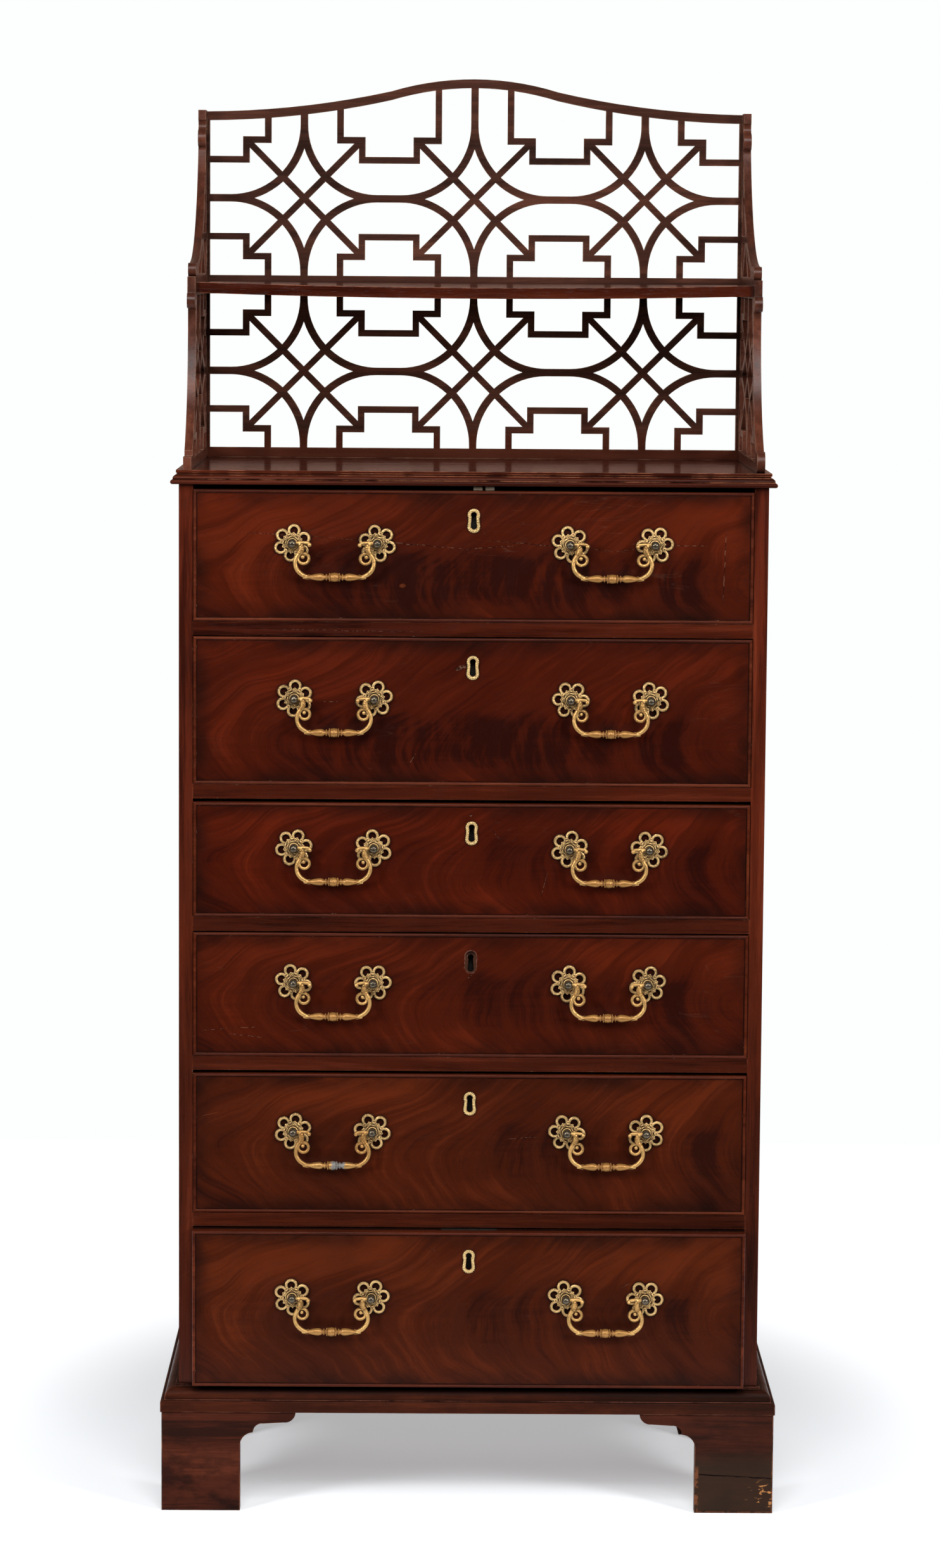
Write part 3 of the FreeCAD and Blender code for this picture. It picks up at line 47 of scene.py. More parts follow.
print("frame loaded:", len(nodes), "nodes")


def addNode(tree, kind, links=None, **settings):
    # each socket gets a link or a plain value
    node = tree.nodes.new(kind)
    for name, setting in settings.items():
        setattr(node, name, setting)
    for socket, source in (links or {}).items():
        if isinstance(source, bpy.types.NodeSocket):
            tree.links.new(source, node.inputs[socket])
        else:
            node.inputs[socket].default_value = source
    return node


def sums(tree, operation, first, second=0.0, third=0.0):
    node = addNode(tree, "ShaderNodeMath", {0: first, 1: second, 2: third}, operation=operation)
    return node.outputs[0]


def times(tree, first, second):
    return sums(tree, "MULTIPLY", first, second)


def apart(tree, vector):
    node = addNode(tree, "ShaderNodeSeparateXYZ", {0: vector})
    return node.outputs["X"], node.outputs["Y"], node.outputs["Z"]


def ranged(tree, source, low, high, newLow=0.0, newHigh=1.0):
    node = addNode(tree, "ShaderNodeMapRange", {"Value": source, "From Min": low, "From Max": high,
                   "To Min": newLow, "To Max": newHigh}, interpolation_type="SMOOTHSTEP")
    return node.outputs["Result"]


def noiseOf(tree, vector, scale, detail=3.0, rough=0.55):
    node = addNode(tree, "ShaderNodeTexNoise", {"Vector": vector, "Scale": scale, "Detail": detail,
                   "Roughness": rough})
    return node.outputs["Fac"]


def stretched(tree, vector, scale):
    node = addNode(tree, "ShaderNodeVectorMath", {0: vector, 1: scale}, operation="MULTIPLY")
    return node.outputs["Vector"]


def streaked(tree, vector, scale, detail=3.0, rough=0.55):
    return noiseOf(tree, stretched(tree, vector, scale), 1.0, detail, rough)


def mapped(tree, spot, location=(0, 0, 0), rotation=(0, 0, 0), scale=(1, 1, 1)):
    node = addNode(tree, "ShaderNodeMapping", {"Vector": spot, "Location": location,
                   "Rotation": rotation, "Scale": scale})
    return node.outputs["Vector"]


def mixed(tree, amount, first, second, blend="MIX"):
    node = addNode(tree, "ShaderNodeMix", {0: amount, 6: first, 7: second}, data_type="RGBA",
                   blend_type=blend)
    return node.outputs[2]


def threeTones(tree, amount, given, stops):
    dark, middle, light = (given.outputs[name] for name in ("Dark", "Middle", "Light"))
    lower = mixed(tree, ranged(tree, amount, stops[0], stops[1]), dark, middle)
    return mixed(tree, ranged(tree, amount, stops[1], stops[2]), lower, light)


def startGroup(name, vectors=(), colours=(), numbers=(), out=()):
    group = bpy.data.node_groups.new(name, "ShaderNodeTree")
    for labels, kind in ((vectors, "NodeSocketVector"), (colours, "NodeSocketColor"),
                         (numbers, "NodeSocketFloat")):
        for label in labels:
            group.interface.new_socket(label, in_out="INPUT", socket_type=kind)
    for label in out:
        kind = "NodeSocketColor" if label == "Colour" else "NodeSocketFloat"
        group.interface.new_socket(label, in_out="OUTPUT", socket_type=kind)
    return group, group.nodes.new("NodeGroupInput"), group.nodes.new("NodeGroupOutput")


def giveOut(group, outNode, **sources):
    for label, source in sources.items():
        group.links.new(source, outNode.inputs[label])


def place(tree, group, **inputs):
    return addNode(tree, "ShaderNodeGroup", inputs, node_tree=group)


def rgb(red, green, blue):
    return (red, green, blue, 1.0)


def woodTones(dark, middle, light):
    return {"dark": rgb(*dark), "middle": rgb(*middle), "light": rgb(*light)}


# sizes of the streaks per metre along and across the grain, the share of each in the tone,
# and where the dark, middle and light tones stand
straight = {"drift": (1.1, 4.0, 4.0), "sway": (0.0, 0.035, 0.035), "broad": (1.6, 22.0, 22.0),
            "streak": (4.0, 110.0, 110.0), "fibre": (30.0, 620.0, 620.0),
            "pore": (70.0, 1500.0, 1500.0), "broadShare": 0.5, "streakShare": 0.36,
            "fibreShare": 0.14, "stops": (0.39, 0.5, 0.61), "poreGloss": 0.15}


def makeStraightGrain():
    # grain runs along the vector's own X
    tree, given, out = startGroup("straightGrain", ("Vector",), ("Dark", "Middle", "Light"), ("Pores",),
                                  ("Colour", "Gloss", "Relief"))
    where = given.outputs["Vector"]
    drift = streaked(tree, where, straight["drift"], 2.0)
    aside = addNode(tree, "ShaderNodeCombineXYZ", {"X": 0.0, "Y": drift, "Z": drift}).outputs[0]
    along = addNode(tree, "ShaderNodeVectorMath", {0: aside, 1: straight["sway"], 2: where},
                    operation="MULTIPLY_ADD").outputs["Vector"]
    broad = streaked(tree, along, straight["broad"], 3.0)
    streak = streaked(tree, along, straight["streak"], 4.0, 0.6)
    fibre = streaked(tree, along, straight["fibre"], 2.0)
    pore = ranged(tree, streaked(tree, along, straight["pore"], 1.0), 0.62, 0.72)
    tone = sums(tree, "MULTIPLY_ADD", streak, straight["streakShare"],
                times(tree, fibre, straight["fibreShare"]))
    tone = sums(tree, "MULTIPLY_ADD", broad, straight["broadShare"], tone)
    colour = threeTones(tree, tone, given, straight["stops"])
    colour = mixed(tree, times(tree, pore, given.outputs["Pores"]), colour, given.outputs["Dark"])
    gloss = sums(tree, "ADD", ranged(tree, streak, 0.3, 0.7, 0.0, 0.1),
                 times(tree, pore, straight["poreGloss"]))
    relief = sums(tree, "SUBTRACT", times(tree, fibre, 0.4), pore)
    giveOut(tree, out, Colour=colour, Gloss=gloss, Relief=relief)
    return tree


# one unit is 100 mm: how far the plume wanders, how round its nose is and how steep its arms are,
# the share of each streak in the tone, and where the dark, middle and light tones stand
flame = {"sway": 1.2, "lift": 0.35, "nose": 0.06, "noseLength": 0.245, "upper": 2.0, "lower": 1.5,
         "broadShare": 0.4, "streakShare": 0.25, "ribbonShare": 0.2, "hairShare": 0.15,
         "stops": (0.36, 0.49, 0.63), "bandLeft": (-2.2, -0.8), "bandRight": (2.9, 2.2),
         "crown": (0.15, 0.5), "lowerShade": 0.3, "rightShade": 0.004, "poreDark": 0.5,
         "poreGloss": 0.12}


def makeFlame():
    # a plume lying on its side: nested curves opening towards +X
    tree, given, out = startGroup("flameVeneer", ("Vector",), ("Dark", "Middle", "Light"),
                                  ("Band", "Ends", "Crown"), ("Colour", "Gloss", "Relief"))
    where = given.outputs["Vector"]
    x, y, z = apart(tree, where)
    sway = noiseOf(tree, where, 0.6, 2.0)
    lift = noiseOf(tree, stretched(tree, where, (0.35, 1.0, 0.9)), 1.4, 2.0)
    across = sums(tree, "MULTIPLY_ADD", sums(tree, "SUBTRACT", sway, 0.5), flame["sway"], x)
    height = sums(tree, "MULTIPLY_ADD", sums(tree, "SUBTRACT", lift, 0.5), flame["lift"], z)
    # the curves have a rounded nose and run out nearly straight, flatter above the axis than below it
    squared = times(tree, height, height)
    arm = sums(tree, "SQRT", sums(tree, "ADD", squared, flame["nose"]))
    arm = sums(tree, "SUBTRACT", arm, flame["noseLength"])
    spread = ranged(tree, height, -0.15, 0.15)
    spread = addNode(tree, "ShaderNodeMix", {0: spread, 2: flame["lower"], 3: flame["upper"]}).outputs[0]
    spread = times(tree, spread, ranged(tree, x, -1.0, 1.5, 1.0, 0.7))
    plume = sums(tree, "SUBTRACT", across, times(tree, arm, spread))

    def along(wide, tall):
        return addNode(tree, "ShaderNodeCombineXYZ", {"X": times(tree, plume, wide), "Y": y,
                       "Z": times(tree, height, tall)}).outputs[0]
    broad = noiseOf(tree, along(0.9, 0.5), 1.0, 2.0)
    streak = noiseOf(tree, along(4.2, 0.9), 1.0, 2.0)
    ribbon = noiseOf(tree, along(13.0, 1.5), 1.0, 3.0, 0.55)
    hair = noiseOf(tree, along(48.0, 3.2), 1.0, 3.0, 0.65)
    pore = ranged(tree, noiseOf(tree, along(150.0, 12.0), 1.0, 1.0), 0.6, 0.7)
    columns = streaked(tree, where, (3.4, 1.0, 1.0), 3.0)
    fire = streaked(tree, where, (1.6, 1.0, 22.0), 3.0, 0.6)
    ends = times(tree, ranged(tree, sums(tree, "ABSOLUTE", x), 1.2, 2.6), given.outputs["Ends"])
    tone = sums(tree, "MULTIPLY_ADD", hair, flame["hairShare"], ends)
    tone = sums(tree, "MULTIPLY_ADD", ribbon, flame["ribbonShare"], tone)
    tone = sums(tree, "MULTIPLY_ADD", streak, flame["streakShare"], tone)
    tone = sums(tree, "MULTIPLY_ADD", broad, flame["broadShare"], tone)
    # fine cross figure, strongest along the axis
    nearAxis = ranged(tree, squared, 0.0, 0.13, 1.0, 0.0)
    cross = times(tree, sums(tree, "SUBTRACT", fire, 0.5),
                  sums(tree, "MULTIPLY_ADD", nearAxis, 0.07, 0.04))
    # a dark band along the axis, broken into columns
    inBand = times(tree, ranged(tree, x, *flame["bandLeft"]), ranged(tree, x, *flame["bandRight"]))
    band = times(tree, times(tree, nearAxis, inBand), ranged(tree, columns, 0.3, 0.62))
    band = times(tree, band, given.outputs["Band"])
    tone = sums(tree, "SUBTRACT", sums(tree, "ADD", tone, cross), band)
    # paler above the plume, darker below it and to the right
    tone = sums(tree, "MULTIPLY_ADD", ranged(tree, height, *flame["crown"]), given.outputs["Crown"], tone)
    lower = times(tree, ranged(tree, height, 0.05, -0.4), given.outputs["Band"])
    lower = times(tree, lower, flame["lowerShade"])
    lowRight = times(tree, ranged(tree, x, 0.9, 2.9), ranged(tree, height, 0.1, -0.5))
    tone = sums(tree, "SUBTRACT", tone, sums(tree, "MULTIPLY_ADD", lowRight, flame["rightShade"], lower))
    colour = threeTones(tree, tone, given, flame["stops"])
    colour = mixed(tree, times(tree, pore, flame["poreDark"]), colour, given.outputs["Dark"])
    gloss = sums(tree, "ADD", ranged(tree, streak, 0.3, 0.7, 0.0, 0.08),
                 times(tree, pore, flame["poreGloss"]))
    relief = sums(tree, "SUBTRACT", times(tree, hair, 0.3), pore)
    giveOut(tree, out, Colour=colour, Gloss=gloss, Relief=relief)
    return tree


def makeCrackle():
    # hairlines in old polish: level lines of a noise drawn out along X, kept in patches
    tree, given, out = startGroup("crackle", ("Vector",), (), ("Amount",), ("Line",))
    where = given.outputs["Vector"]
    ripple = streaked(tree, where, (5.0, 1.0, 60.0), 2.0)
    level = sums(tree, "PINGPONG", times(tree, ripple, 7.0), 0.5)
    patch = ranged(tree, streaked(tree, where, (8.0, 1.0, 11.0), 2.0), 0.52, 0.66)
    line = times(tree, ranged(tree, level, 0.035, 0.0), patch)
    giveOut(tree, out, Line=times(tree, line, given.outputs["Amount"]))
    return tree


handled = {"bevel": 0.0016, "patches": 34.0, "blotches": 9.0, "blotched": 0.25, "cornerGloss": 0.25,
           "chips": 420.0, "flecks": rgb(0.4, 0.24, 0.17)}


def makeHandling():
    # painted shade from ambient occlusion, with some dark wax, in the corners and round raised parts;
    # rubbed polish with a painted highlight and small chips on the edges; faint blotches between
    tree, given, out = startGroup("handling", ("Vector",), ("Colour", "Rubbed", "Grime"),
                                  ("Edges", "Corners", "Reach"), ("Colour", "Gloss"))
    where, grime = given.outputs["Vector"], given.outputs["Grime"]
    flat = addNode(tree, "ShaderNodeNewGeometry").outputs["True Normal"]
    soft = addNode(tree, "ShaderNodeBevel", {"Radius": handled["bevel"]}, samples=6).outputs[0]
    turn = addNode(tree, "ShaderNodeVectorMath", {0: flat, 1: soft}, operation="DOT_PRODUCT")
    turn = turn.outputs["Value"]
    patches = noiseOf(tree, where, handled["patches"], 4.0, 0.65)
    # ambient occlusion darkens corners, recesses and the wood round the brasses: painted shade
    shade = addNode(tree, "ShaderNodeAmbientOcclusion", {"Distance": given.outputs["Reach"]}, samples=6,
                    only_local=False).outputs["AO"]
    corner = ranged(tree, sums(tree, "MULTIPLY_ADD", patches, 0.25, shade), 1.05, 0.6)
    corner = times(tree, corner, given.outputs["Corners"])
    blotch = noiseOf(tree, where, handled["blotches"], 3.0)
    blotch = ranged(tree, blotch, 0.35, 0.7, 0.0, handled["blotched"])
    colour = mixed(tree, blotch, given.outputs["Colour"], grime)
    colour = mixed(tree, corner, colour, grime)
    # edges made paler, partly as rubbed polish and partly as a painted highlight
    edge = times(tree, ranged(tree, turn, 0.985, 0.8), ranged(tree, patches, 0.38, 0.62))
    colour = mixed(tree, times(tree, edge, given.outputs["Edges"]), colour, given.outputs["Rubbed"])
    chip = ranged(tree, noiseOf(tree, where, handled["chips"], 2.0), 0.64, 0.68)
    onEdge = times(tree, ranged(tree, turn, 0.97, 0.85), ranged(tree, patches, 0.5, 0.62))
    colour = mixed(tree, times(tree, chip, onEdge), colour, handled["flecks"])
    gloss = sums(tree, "ADD", times(tree, corner, handled["cornerGloss"]),
                 ranged(tree, patches, 0.35, 0.75, 0.0, 0.07))
    giveOut(tree, out, Colour=colour, Gloss=gloss)
    return tree


straightGrain = makeStraightGrain()
flameVeneer = makeFlame()
crackle = makeCrackle()
handling = makeHandling()
print("shared finishes ready")


def startMaterial(name):
    material = bpy.data.materials.new(name)
    material.use_nodes = True
    tree = material.node_tree
    shader = tree.nodes["Principled BSDF"]
    spot = addNode(tree, "ShaderNodeTexCoord").outputs["Object"]
    return material, tree, shader, spot


flawTones = {"gap": rgb(0.009, 0.0033, 0.0024), "chip": rgb(0.15, 0.075, 0.048),
             "spot": rgb(0.13, 0.03, 0.01)}
flawStrength = 0.75


def flawMask(tree, spot, across, height, halfLong, halfThick, slope):
    # a thin wavering oval seen from the front, sizes in millimetres, slope in degrees
    waver = streaked(tree, spot, (60.0, 1.0, 60.0), 2.0)
    moved = addNode(tree, "ShaderNodeVectorMath", {0: spot, 1: (-across * 0.001, 0, -height * 0.001)},
                    operation="ADD")
    turned = addNode(tree, "ShaderNodeVectorRotate", {"Vector": moved.outputs[0], "Axis": (0, 1, 0),
                     "Angle": math.radians(slope)}).outputs[0]
    x, _, z = apart(tree, turned)
    rise = sums(tree, "MULTIPLY_ADD", sums(tree, "SUBTRACT", waver, 0.5),
                min(0.003, halfLong * 0.00006), z)
    ends = sums(tree, "DIVIDE", x, halfLong * 0.001)
    sides = sums(tree, "DIVIDE", rise, halfThick * 0.001)
    away = sums(tree, "ADD", times(tree, ends, ends), times(tree, sides, sides))
    gaps = ranged(tree, waver, 0.3, 0.45, 0.35, 1.0)
    return times(tree, ranged(tree, away, 1.1, 0.6), gaps)


def addFlaws(tree, spot, colour, marks):
    if not marks:
        return colour
    # a crack is a dark line with pale chips along it
    chips = ranged(tree, noiseOf(tree, spot, 240.0, 2.0), 0.46, 0.6)
    chipped = mixed(tree, chips, flawTones["gap"], flawTones["chip"])
    for *shape, tone in marks:
        mask = times(tree, flawMask(tree, spot, *shape), flawStrength)
        colour = mixed(tree, mask, colour, chipped if tone == "crack" else flawTones[tone])
    return colour


def layGrain(tree, where, tones, pores):
    return place(tree, straightGrain, Vector=where, Dark=tones["dark"], Middle=tones["middle"],
                 Light=tones["light"], Pores=pores)


def finishWood(tree, shader, spot, grain, look, colour):
    worn = place(tree, handling, Vector=spot, Colour=colour, Rubbed=look["rubbed"], Grime=look["grime"],
                 Edges=look["edges"], Corners=look["corners"], Reach=look["reach"])
    rough = sums(tree, "ADD", grain.outputs["Gloss"], worn.outputs["Gloss"])
    rough = sums(tree, "ADD", rough, look["roughness"])
    soft = addNode(tree, "ShaderNodeBevel", {"Radius": look["softness"]}, samples=6).outputs[0]
    bump = addNode(tree, "ShaderNodeBump", {"Strength": look["bump"], "Distance": 0.0003,
                   "Height": grain.outputs["Relief"], "Normal": soft})
    tree.links.new(worn.outputs["Colour"], shader.inputs["Base Color"])
    tree.links.new(rough, shader.inputs["Roughness"])
    tree.links.new(bump.outputs["Normal"], shader.inputs["Normal"])
    shader.inputs["Specular IOR Level"].default_value = look["shine"]


# the edge colour paints the edges paler, partly as rubbed polish and partly as a painted highlight; the
# corner share darkens corners and recesses as painted shade with some wax
polished = {"rubbed": rgb(0.22, 0.05, 0.019), "grime": rgb(0.009, 0.0033, 0.0024), "edges": 0.55,
            "corners": 0.65, "reach": 0.006, "roughness": 0.2, "softness": 0.0009, "bump": 0.25,
            "shine": 0.1}


def makeCaseWood(name, turn, shift, tones, look=polished, pores=0.5, fade=None, marks=()):
    # fade is two heights, a share and a tone: the wood goes over to that tone between the heights
    material, tree, shader, spot = startMaterial(name)
    grain = layGrain(tree, mapped(tree, spot, shift, turn), tones, pores)
    colour = grain.outputs["Colour"]
    if fade:
        high, low, share, tone = fade
        height = apart(tree, spot)[2]
        colour = mixed(tree, ranged(tree, height, high, low, 0.0, share), colour, tone)
    finishWood(tree, shader, spot, grain, look, addFlaws(tree, spot, colour, marks))
    return material


upright = (0, math.radians(90), 0)      # grain runs up the piece
level = (0, 0, 0)                       # grain runs across the piece
frontToBack = (0, 0, math.radians(90))  # grain runs from front to back


def brighter(tones, share):
    return {name: rgb(*(value * share for value in tone[:3])) for name, tone in tones.items()}


# stiles and rails: one wood, paler on the stiles, with painted shade darkening it towards the floor
caseTones = woodTones((0.023, 0.0039, 0.002), (0.0689, 0.0105, 0.004), (0.1271, 0.0213, 0.0078))
caseLook = {"stiles": 1.36, "rails": 0.86, "dullFrom": 1.1, "dullTo": 0.25, "stileDulled": 0.4,
            "railDulled": 0.3, "dull": rgb(0.014, 0.0068, 0.004),
            "railMarks": ((-143, 992, 95, 0.26, -0.5, "crack"),)}
uprightWood = makeCaseWood(
    "mahogany_upright", upright, (0, 0, 0), brighter(caseTones, caseLook["stiles"]),
    fade=(caseLook["dullFrom"], caseLook["dullTo"], caseLook["stileDulled"], caseLook["dull"]))
levelWood = makeCaseWood(
    "mahogany_level", level, (0.3, 0.1, 0.2), brighter(caseTones, caseLook["rails"]),
    fade=(caseLook["dullFrom"], caseLook["dullTo"], caseLook["railDulled"], caseLook["dull"]),
    marks=caseLook["railMarks"])

topTones = woodTones((0.0246, 0.0041, 0.002), (0.0492, 0.0086, 0.0037), (0.0779, 0.0148, 0.0061))
# the pale edges paint highlights on the moulding and the strong corners paint shade in its recesses
topLook = dict(polished, rubbed=rgb(0.46, 0.16, 0.08), roughness=0.08, shine=0.042, edges=1.0,
               corners=0.85)
topWood = makeCaseWood("mahogany_top_board", level, (0.7, 0.2, 0.0), topTones, topLook)
shelfWood = makeCaseWood("mahogany_shelf", level, (0.9, 0.3, 0.4), topTones, dict(topLook, shine=0.16))

fretTones = woodTones((0.026, 0.011, 0.0078), (0.052, 0.0195, 0.0125), (0.095, 0.033, 0.02))
fretLook = dict(polished, rubbed=rgb(0.3, 0.15, 0.09), edges=0.85, corners=0.35, reach=0.004,
                softness=0.0005, shine=0.06)
lowRail = (1.205, 1.19, 0.75, rgb(0.062, 0.013, 0.0058))      # the fret's foot is redder
fretWood = makeCaseWood("mahogany_fret", level, (0.2, 0.6, 0.1), fretTones, fretLook, fade=lowRail)
fretSideTones = woodTones((0.044, 0.0145, 0.009), (0.082, 0.0235, 0.013), (0.13, 0.038, 0.02))
fretSideWood = makeCaseWood("mahogany_fret_sides", frontToBack, (0.5, 0.6, 0.1), fretSideTones,
                            dict(fretLook, shine=0.25))

footTones = woodTones((0.021, 0.0058, 0.0034), (0.055, 0.0122, 0.006), (0.09, 0.021, 0.0098))
footLook = dict(polished, rubbed=rgb(0.4, 0.15, 0.07), edges=0.95, corners=0.6, roughness=0.3,
                shine=0.045, softness=0.0016)
# the front right foot has lost its polish near the floor, is split across and has lost chips at its
# outer corner; each pair runs from none to all of the effect, in metres
footWear = {"rightOf": (0.1, 0.24), "inFrontOf": (-0.06, -0.13), "uneven": 0.07,
            "dustBelow": (0.078, 0.05), "dust": rgb(0.031, 0.0185, 0.0115),
            "splitMark": (293, 42.5, 130, 0.75, -3),
            "split": rgb(0.002, 0.001, 0.001), "chipMiddle": (-0.267, 0.0, -0.018),
            "chipShape": (0.8, 0, 0.9), "chipReach": (0.019, 0.006), "chipFront": (-0.158, -0.17),
            "flakes": (110, 110, 260), "flakeShift": (0, 18.7916, 0), "chip": rgb(0.5, 0.21, 0.07),
            "rimBelow": (0.003, 0.0008), "rimSides": (0.058, 0.045), "rimInner": (0.2608, 0.2586),
            "rimOuter": (0.3412, 0.343), "rim": rgb(0.16, 0.054, 0.023)}


def makeFootWood(name, tones, look):
    # stained by floor washing, most of all near the ground
    material, tree, shader, spot = startMaterial(name)
    grain = layGrain(tree, mapped(tree, spot, (0.4, 0.1, 0.5)), tones, 0.5)
    x, y, z = apart(tree, spot)
    stain = ranged(tree, streaked(tree, spot, (20.0, 20.0, 32.0), 5.0, 0.65), 0.4, 0.62)
    low = ranged(tree, z, 0.12, 0.0, 0.35, 0.85)
    colour = mixed(tree, times(tree, stain, low), grain.outputs["Colour"], look["grime"])
    # dust and a split on the front right foot
    uneven = sums(tree, "MULTIPLY_ADD", noiseOf(tree, spot, 45.0, 4.0, 0.6), footWear["uneven"],
                  sums(tree, "SUBTRACT", y, footWear["uneven"] / 2))
    right = times(tree, ranged(tree, x, *footWear["rightOf"]),
                  ranged(tree, uneven, *footWear["inFrontOf"]))
    dust = times(tree, ranged(tree, z, *footWear["dustBelow"], 0.1, 0.85), right)
    colour = mixed(tree, dust, colour, footWear["dust"])
    split = times(tree, flawMask(tree, spot, *footWear["splitMark"]), right)
    colour = mixed(tree, split, colour, footWear["split"])
    # bare wood along its knocked lower edges
    sides = sums(tree, "MAXIMUM", ranged(tree, x, *footWear["rimInner"]),
                 ranged(tree, x, *footWear["rimOuter"]))
    sides = times(tree, ranged(tree, z, *footWear["rimSides"]), sides)
    rim = sums(tree, "MAXIMUM", ranged(tree, z, *footWear["rimBelow"]), sides)
    rim = times(tree, rim, ranged(tree, noiseOf(tree, spot, 160.0, 4.0, 0.6), 0.47, 0.55))
    colour = mixed(tree, times(tree, rim, right), colour, footWear["rim"])
    # chips round its outer corner
    fromChip = mapped(tree, spot, footWear["chipMiddle"], (0, 0, 0), footWear["chipShape"])
    fromChip = addNode(tree, "ShaderNodeVectorMath", {0: fromChip}, operation="LENGTH").outputs["Value"]
    flakes = mapped(tree, spot, footWear["flakeShift"], (0, 0, 0), footWear["flakes"])
    flakes = ranged(tree, noiseOf(tree, flakes, 1.0, 3.0), 0.57, 0.6)
    onCorner = times(tree, ranged(tree, fromChip, *footWear["chipReach"]),
                     ranged(tree, y, *footWear["chipFront"]))
    colour = mixed(tree, times(tree, flakes, onCorner), colour, footWear["chip"])
    finishWood(tree, shader, spot, grain, look, colour)
    return material


footWood = makeFootWood("mahogany_feet", footTones, footLook)
mouldingTones = woodTones((0.0171, 0.0045, 0.0022), (0.045, 0.0095, 0.0037), (0.0738, 0.0162, 0.0062))
# the deep reach and strong corners paint shadow on the moulding under the ajar bottom drawer
mouldingLook = dict(footLook, corners=0.95, reach=0.035, rubbed=rgb(0.3, 0.1, 0.06))
mouldingWood = makeFootWood("mahogany_base_moulding", mouldingTones, mouldingLook)

beadTones = woodTones((0.037, 0.006, 0.0025), (0.074, 0.0125, 0.0043), (0.122, 0.0235, 0.0076))
# the pale edges paint a highlight on the bead's crest and the strong corners paint shade where it meets
# the drawer
beadLook = dict(polished, rubbed=rgb(0.27, 0.065, 0.021), edges=0.6, corners=0.95, reach=0.003,
                softness=0.0008)
beadWood = makeCaseWood("cockbead_mahogany", level, (0.6, 0.9, 0.1), beadTones, beadLook)

plainTones = woodTones((0.11, 0.062, 0.032), (0.2, 0.122, 0.066), (0.3, 0.195, 0.115))
plainLook = dict(polished, rubbed=rgb(0.36, 0.25, 0.16), grime=rgb(0.04, 0.026, 0.016), edges=0.5,
                 corners=0.6, reach=0.012, roughness=0.55, shine=0.25, bump=0.5)
plainWood = makeCaseWood("oak_linings", frontToBack, (0.2, 0.2, 0.9), plainTones, plainLook, 0.8)

backLook = {"boards": 4, "pores": 0.3, "unlike": 0.4, "joint": (0.012, 0.004)}


def makeBackWood(name):
    # boards of slightly different pine with dust in their joints
    material, tree, shader, spot = startMaterial(name)
    low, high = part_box("back_boards")
    x, _, z = apart(tree, spot)
    boardWide = (high.x - low.x) / backLook["boards"]
    along = sums(tree, "DIVIDE", sums(tree, "SUBTRACT", x, low.x), boardWide)
    board = sums(tree, "FLOOR", along)
    moved = addNode(tree, "ShaderNodeCombineXYZ", {0: x, 1: times(tree, board, 0.7),
                    2: sums(tree, "MULTIPLY_ADD", board, 0.43, z)}).outputs[0]
    grain = layGrain(tree, mapped(tree, moved, (0.8, 0.2, 0.3), upright), plainTones, backLook["pores"])
    shade = addNode(tree, "ShaderNodeTexWhiteNoise", {"W": board}, noise_dimensions="1D").outputs["Value"]
    shade = ranged(tree, shade, 0.0, 1.0, 0.0, backLook["unlike"])
    colour = mixed(tree, shade, grain.outputs["Colour"], plainTones["dark"])
    joint = sums(tree, "ABSOLUTE", sums(tree, "SUBTRACT", along, sums(tree, "ROUND", along)))
    colour = mixed(tree, ranged(tree, joint, *backLook["joint"]), colour, plainLook["grime"])
    finishWood(tree, shader, spot, grain, plainLook, colour)
    return material


backWood = makeBackWood("pine_back")

veneer = {"tones": ((0.0213, 0.0043, 0.0027), (0.0525, 0.0085, 0.003), (0.0951, 0.0148, 0.0043)),
          "frame": 0.026, "framed": 0.75, "bead": 0.0035, "beadLine": 0.0024, "beadLined": 0.9}
# the strong corners and wide reach paint shadow round the brasses and along the cockbead
veneerLook = dict(polished, edges=0.3, corners=0.85, reach=0.018, shine=0.06)
# for each drawer: middle height of the figure in metres, a small shift along it, how crackled its polish
# is, how dark the band along the figure is, how pale its ends are, brightness and greenness of its
# tones, and how much paler it is above the figure
figures = {1: (1.05, 0.0, 0.16, 0.155, 0.028, 1.03, 0.84, 0.045),
           2: (0.87, 0.02, 0.12, 0.14, 0.0, 1.02, 0.78, 0.015),
           3: (0.731, -0.01, 0.08, 0.03, -0.03, 1.06, 0.74, 0.045),
           4: (0.579, 0.015, 0.1, 0.055, -0.03, 1.06, 0.84, 0.05),
           5: (0.409, -0.02, 0.06, 0.042, -0.036, 1.04, 1.05, 0.038),
           6: (0.224, 0.01, 0.06, 0.034, -0.008, 0.98, 1.08, 0.06)}
# scratches, cracks and lost flakes: across, height, half length and half thickness in millimetres,
# slope in degrees, tone
flaws = {1: ((-203, 1097, 54, 0.42, -3, "crack"), (-80, 1088.5, 80, 0.5, -4.5, "crack"),
             (19, 1084.7, 29, 0.5, 4.8, "crack"), (86, 1086.8, 74, 0.5, -4.6, "crack"),
             (186, 1084.7, 35, 0.46, 6.4, "crack"), (237, 1088, 24, 0.42, 0, "crack"),
             (277, 1065, 44, 0.5, 88, "crack"), (-78, 1042, 4, 2.4, 10, "spot")),
         2: ((-13, 951.5, 7.5, 2.6, 20, "crack"), (-67, 848.5, 9, 0.4, 60, "crack"),
             (-157, 913, 14, 0.3, 0, "crack")),
         3: ((25, 768, 11, 0.35, -50, "crack"), (81, 709, 16, 0.4, 75, "crack"),
             (-1, 787, 1.5, 1.3, 0, "crack")),
         4: ((-268, 546, 34, 0.35, 4, "crack"), (-250, 538, 24, 0.3, -6, "crack"),
             (-1, 606, 3.2, 0.6, 40, "crack")),
         5: ((-290, 449, 10, 0.45, 14, "spot"), (60, 424, 20, 0.25, 4, "crack")),
         6: ((178, 262, 9, 0.3, 30, "crack"), (-40, 300, 8, 0.25, -20, "crack"))}
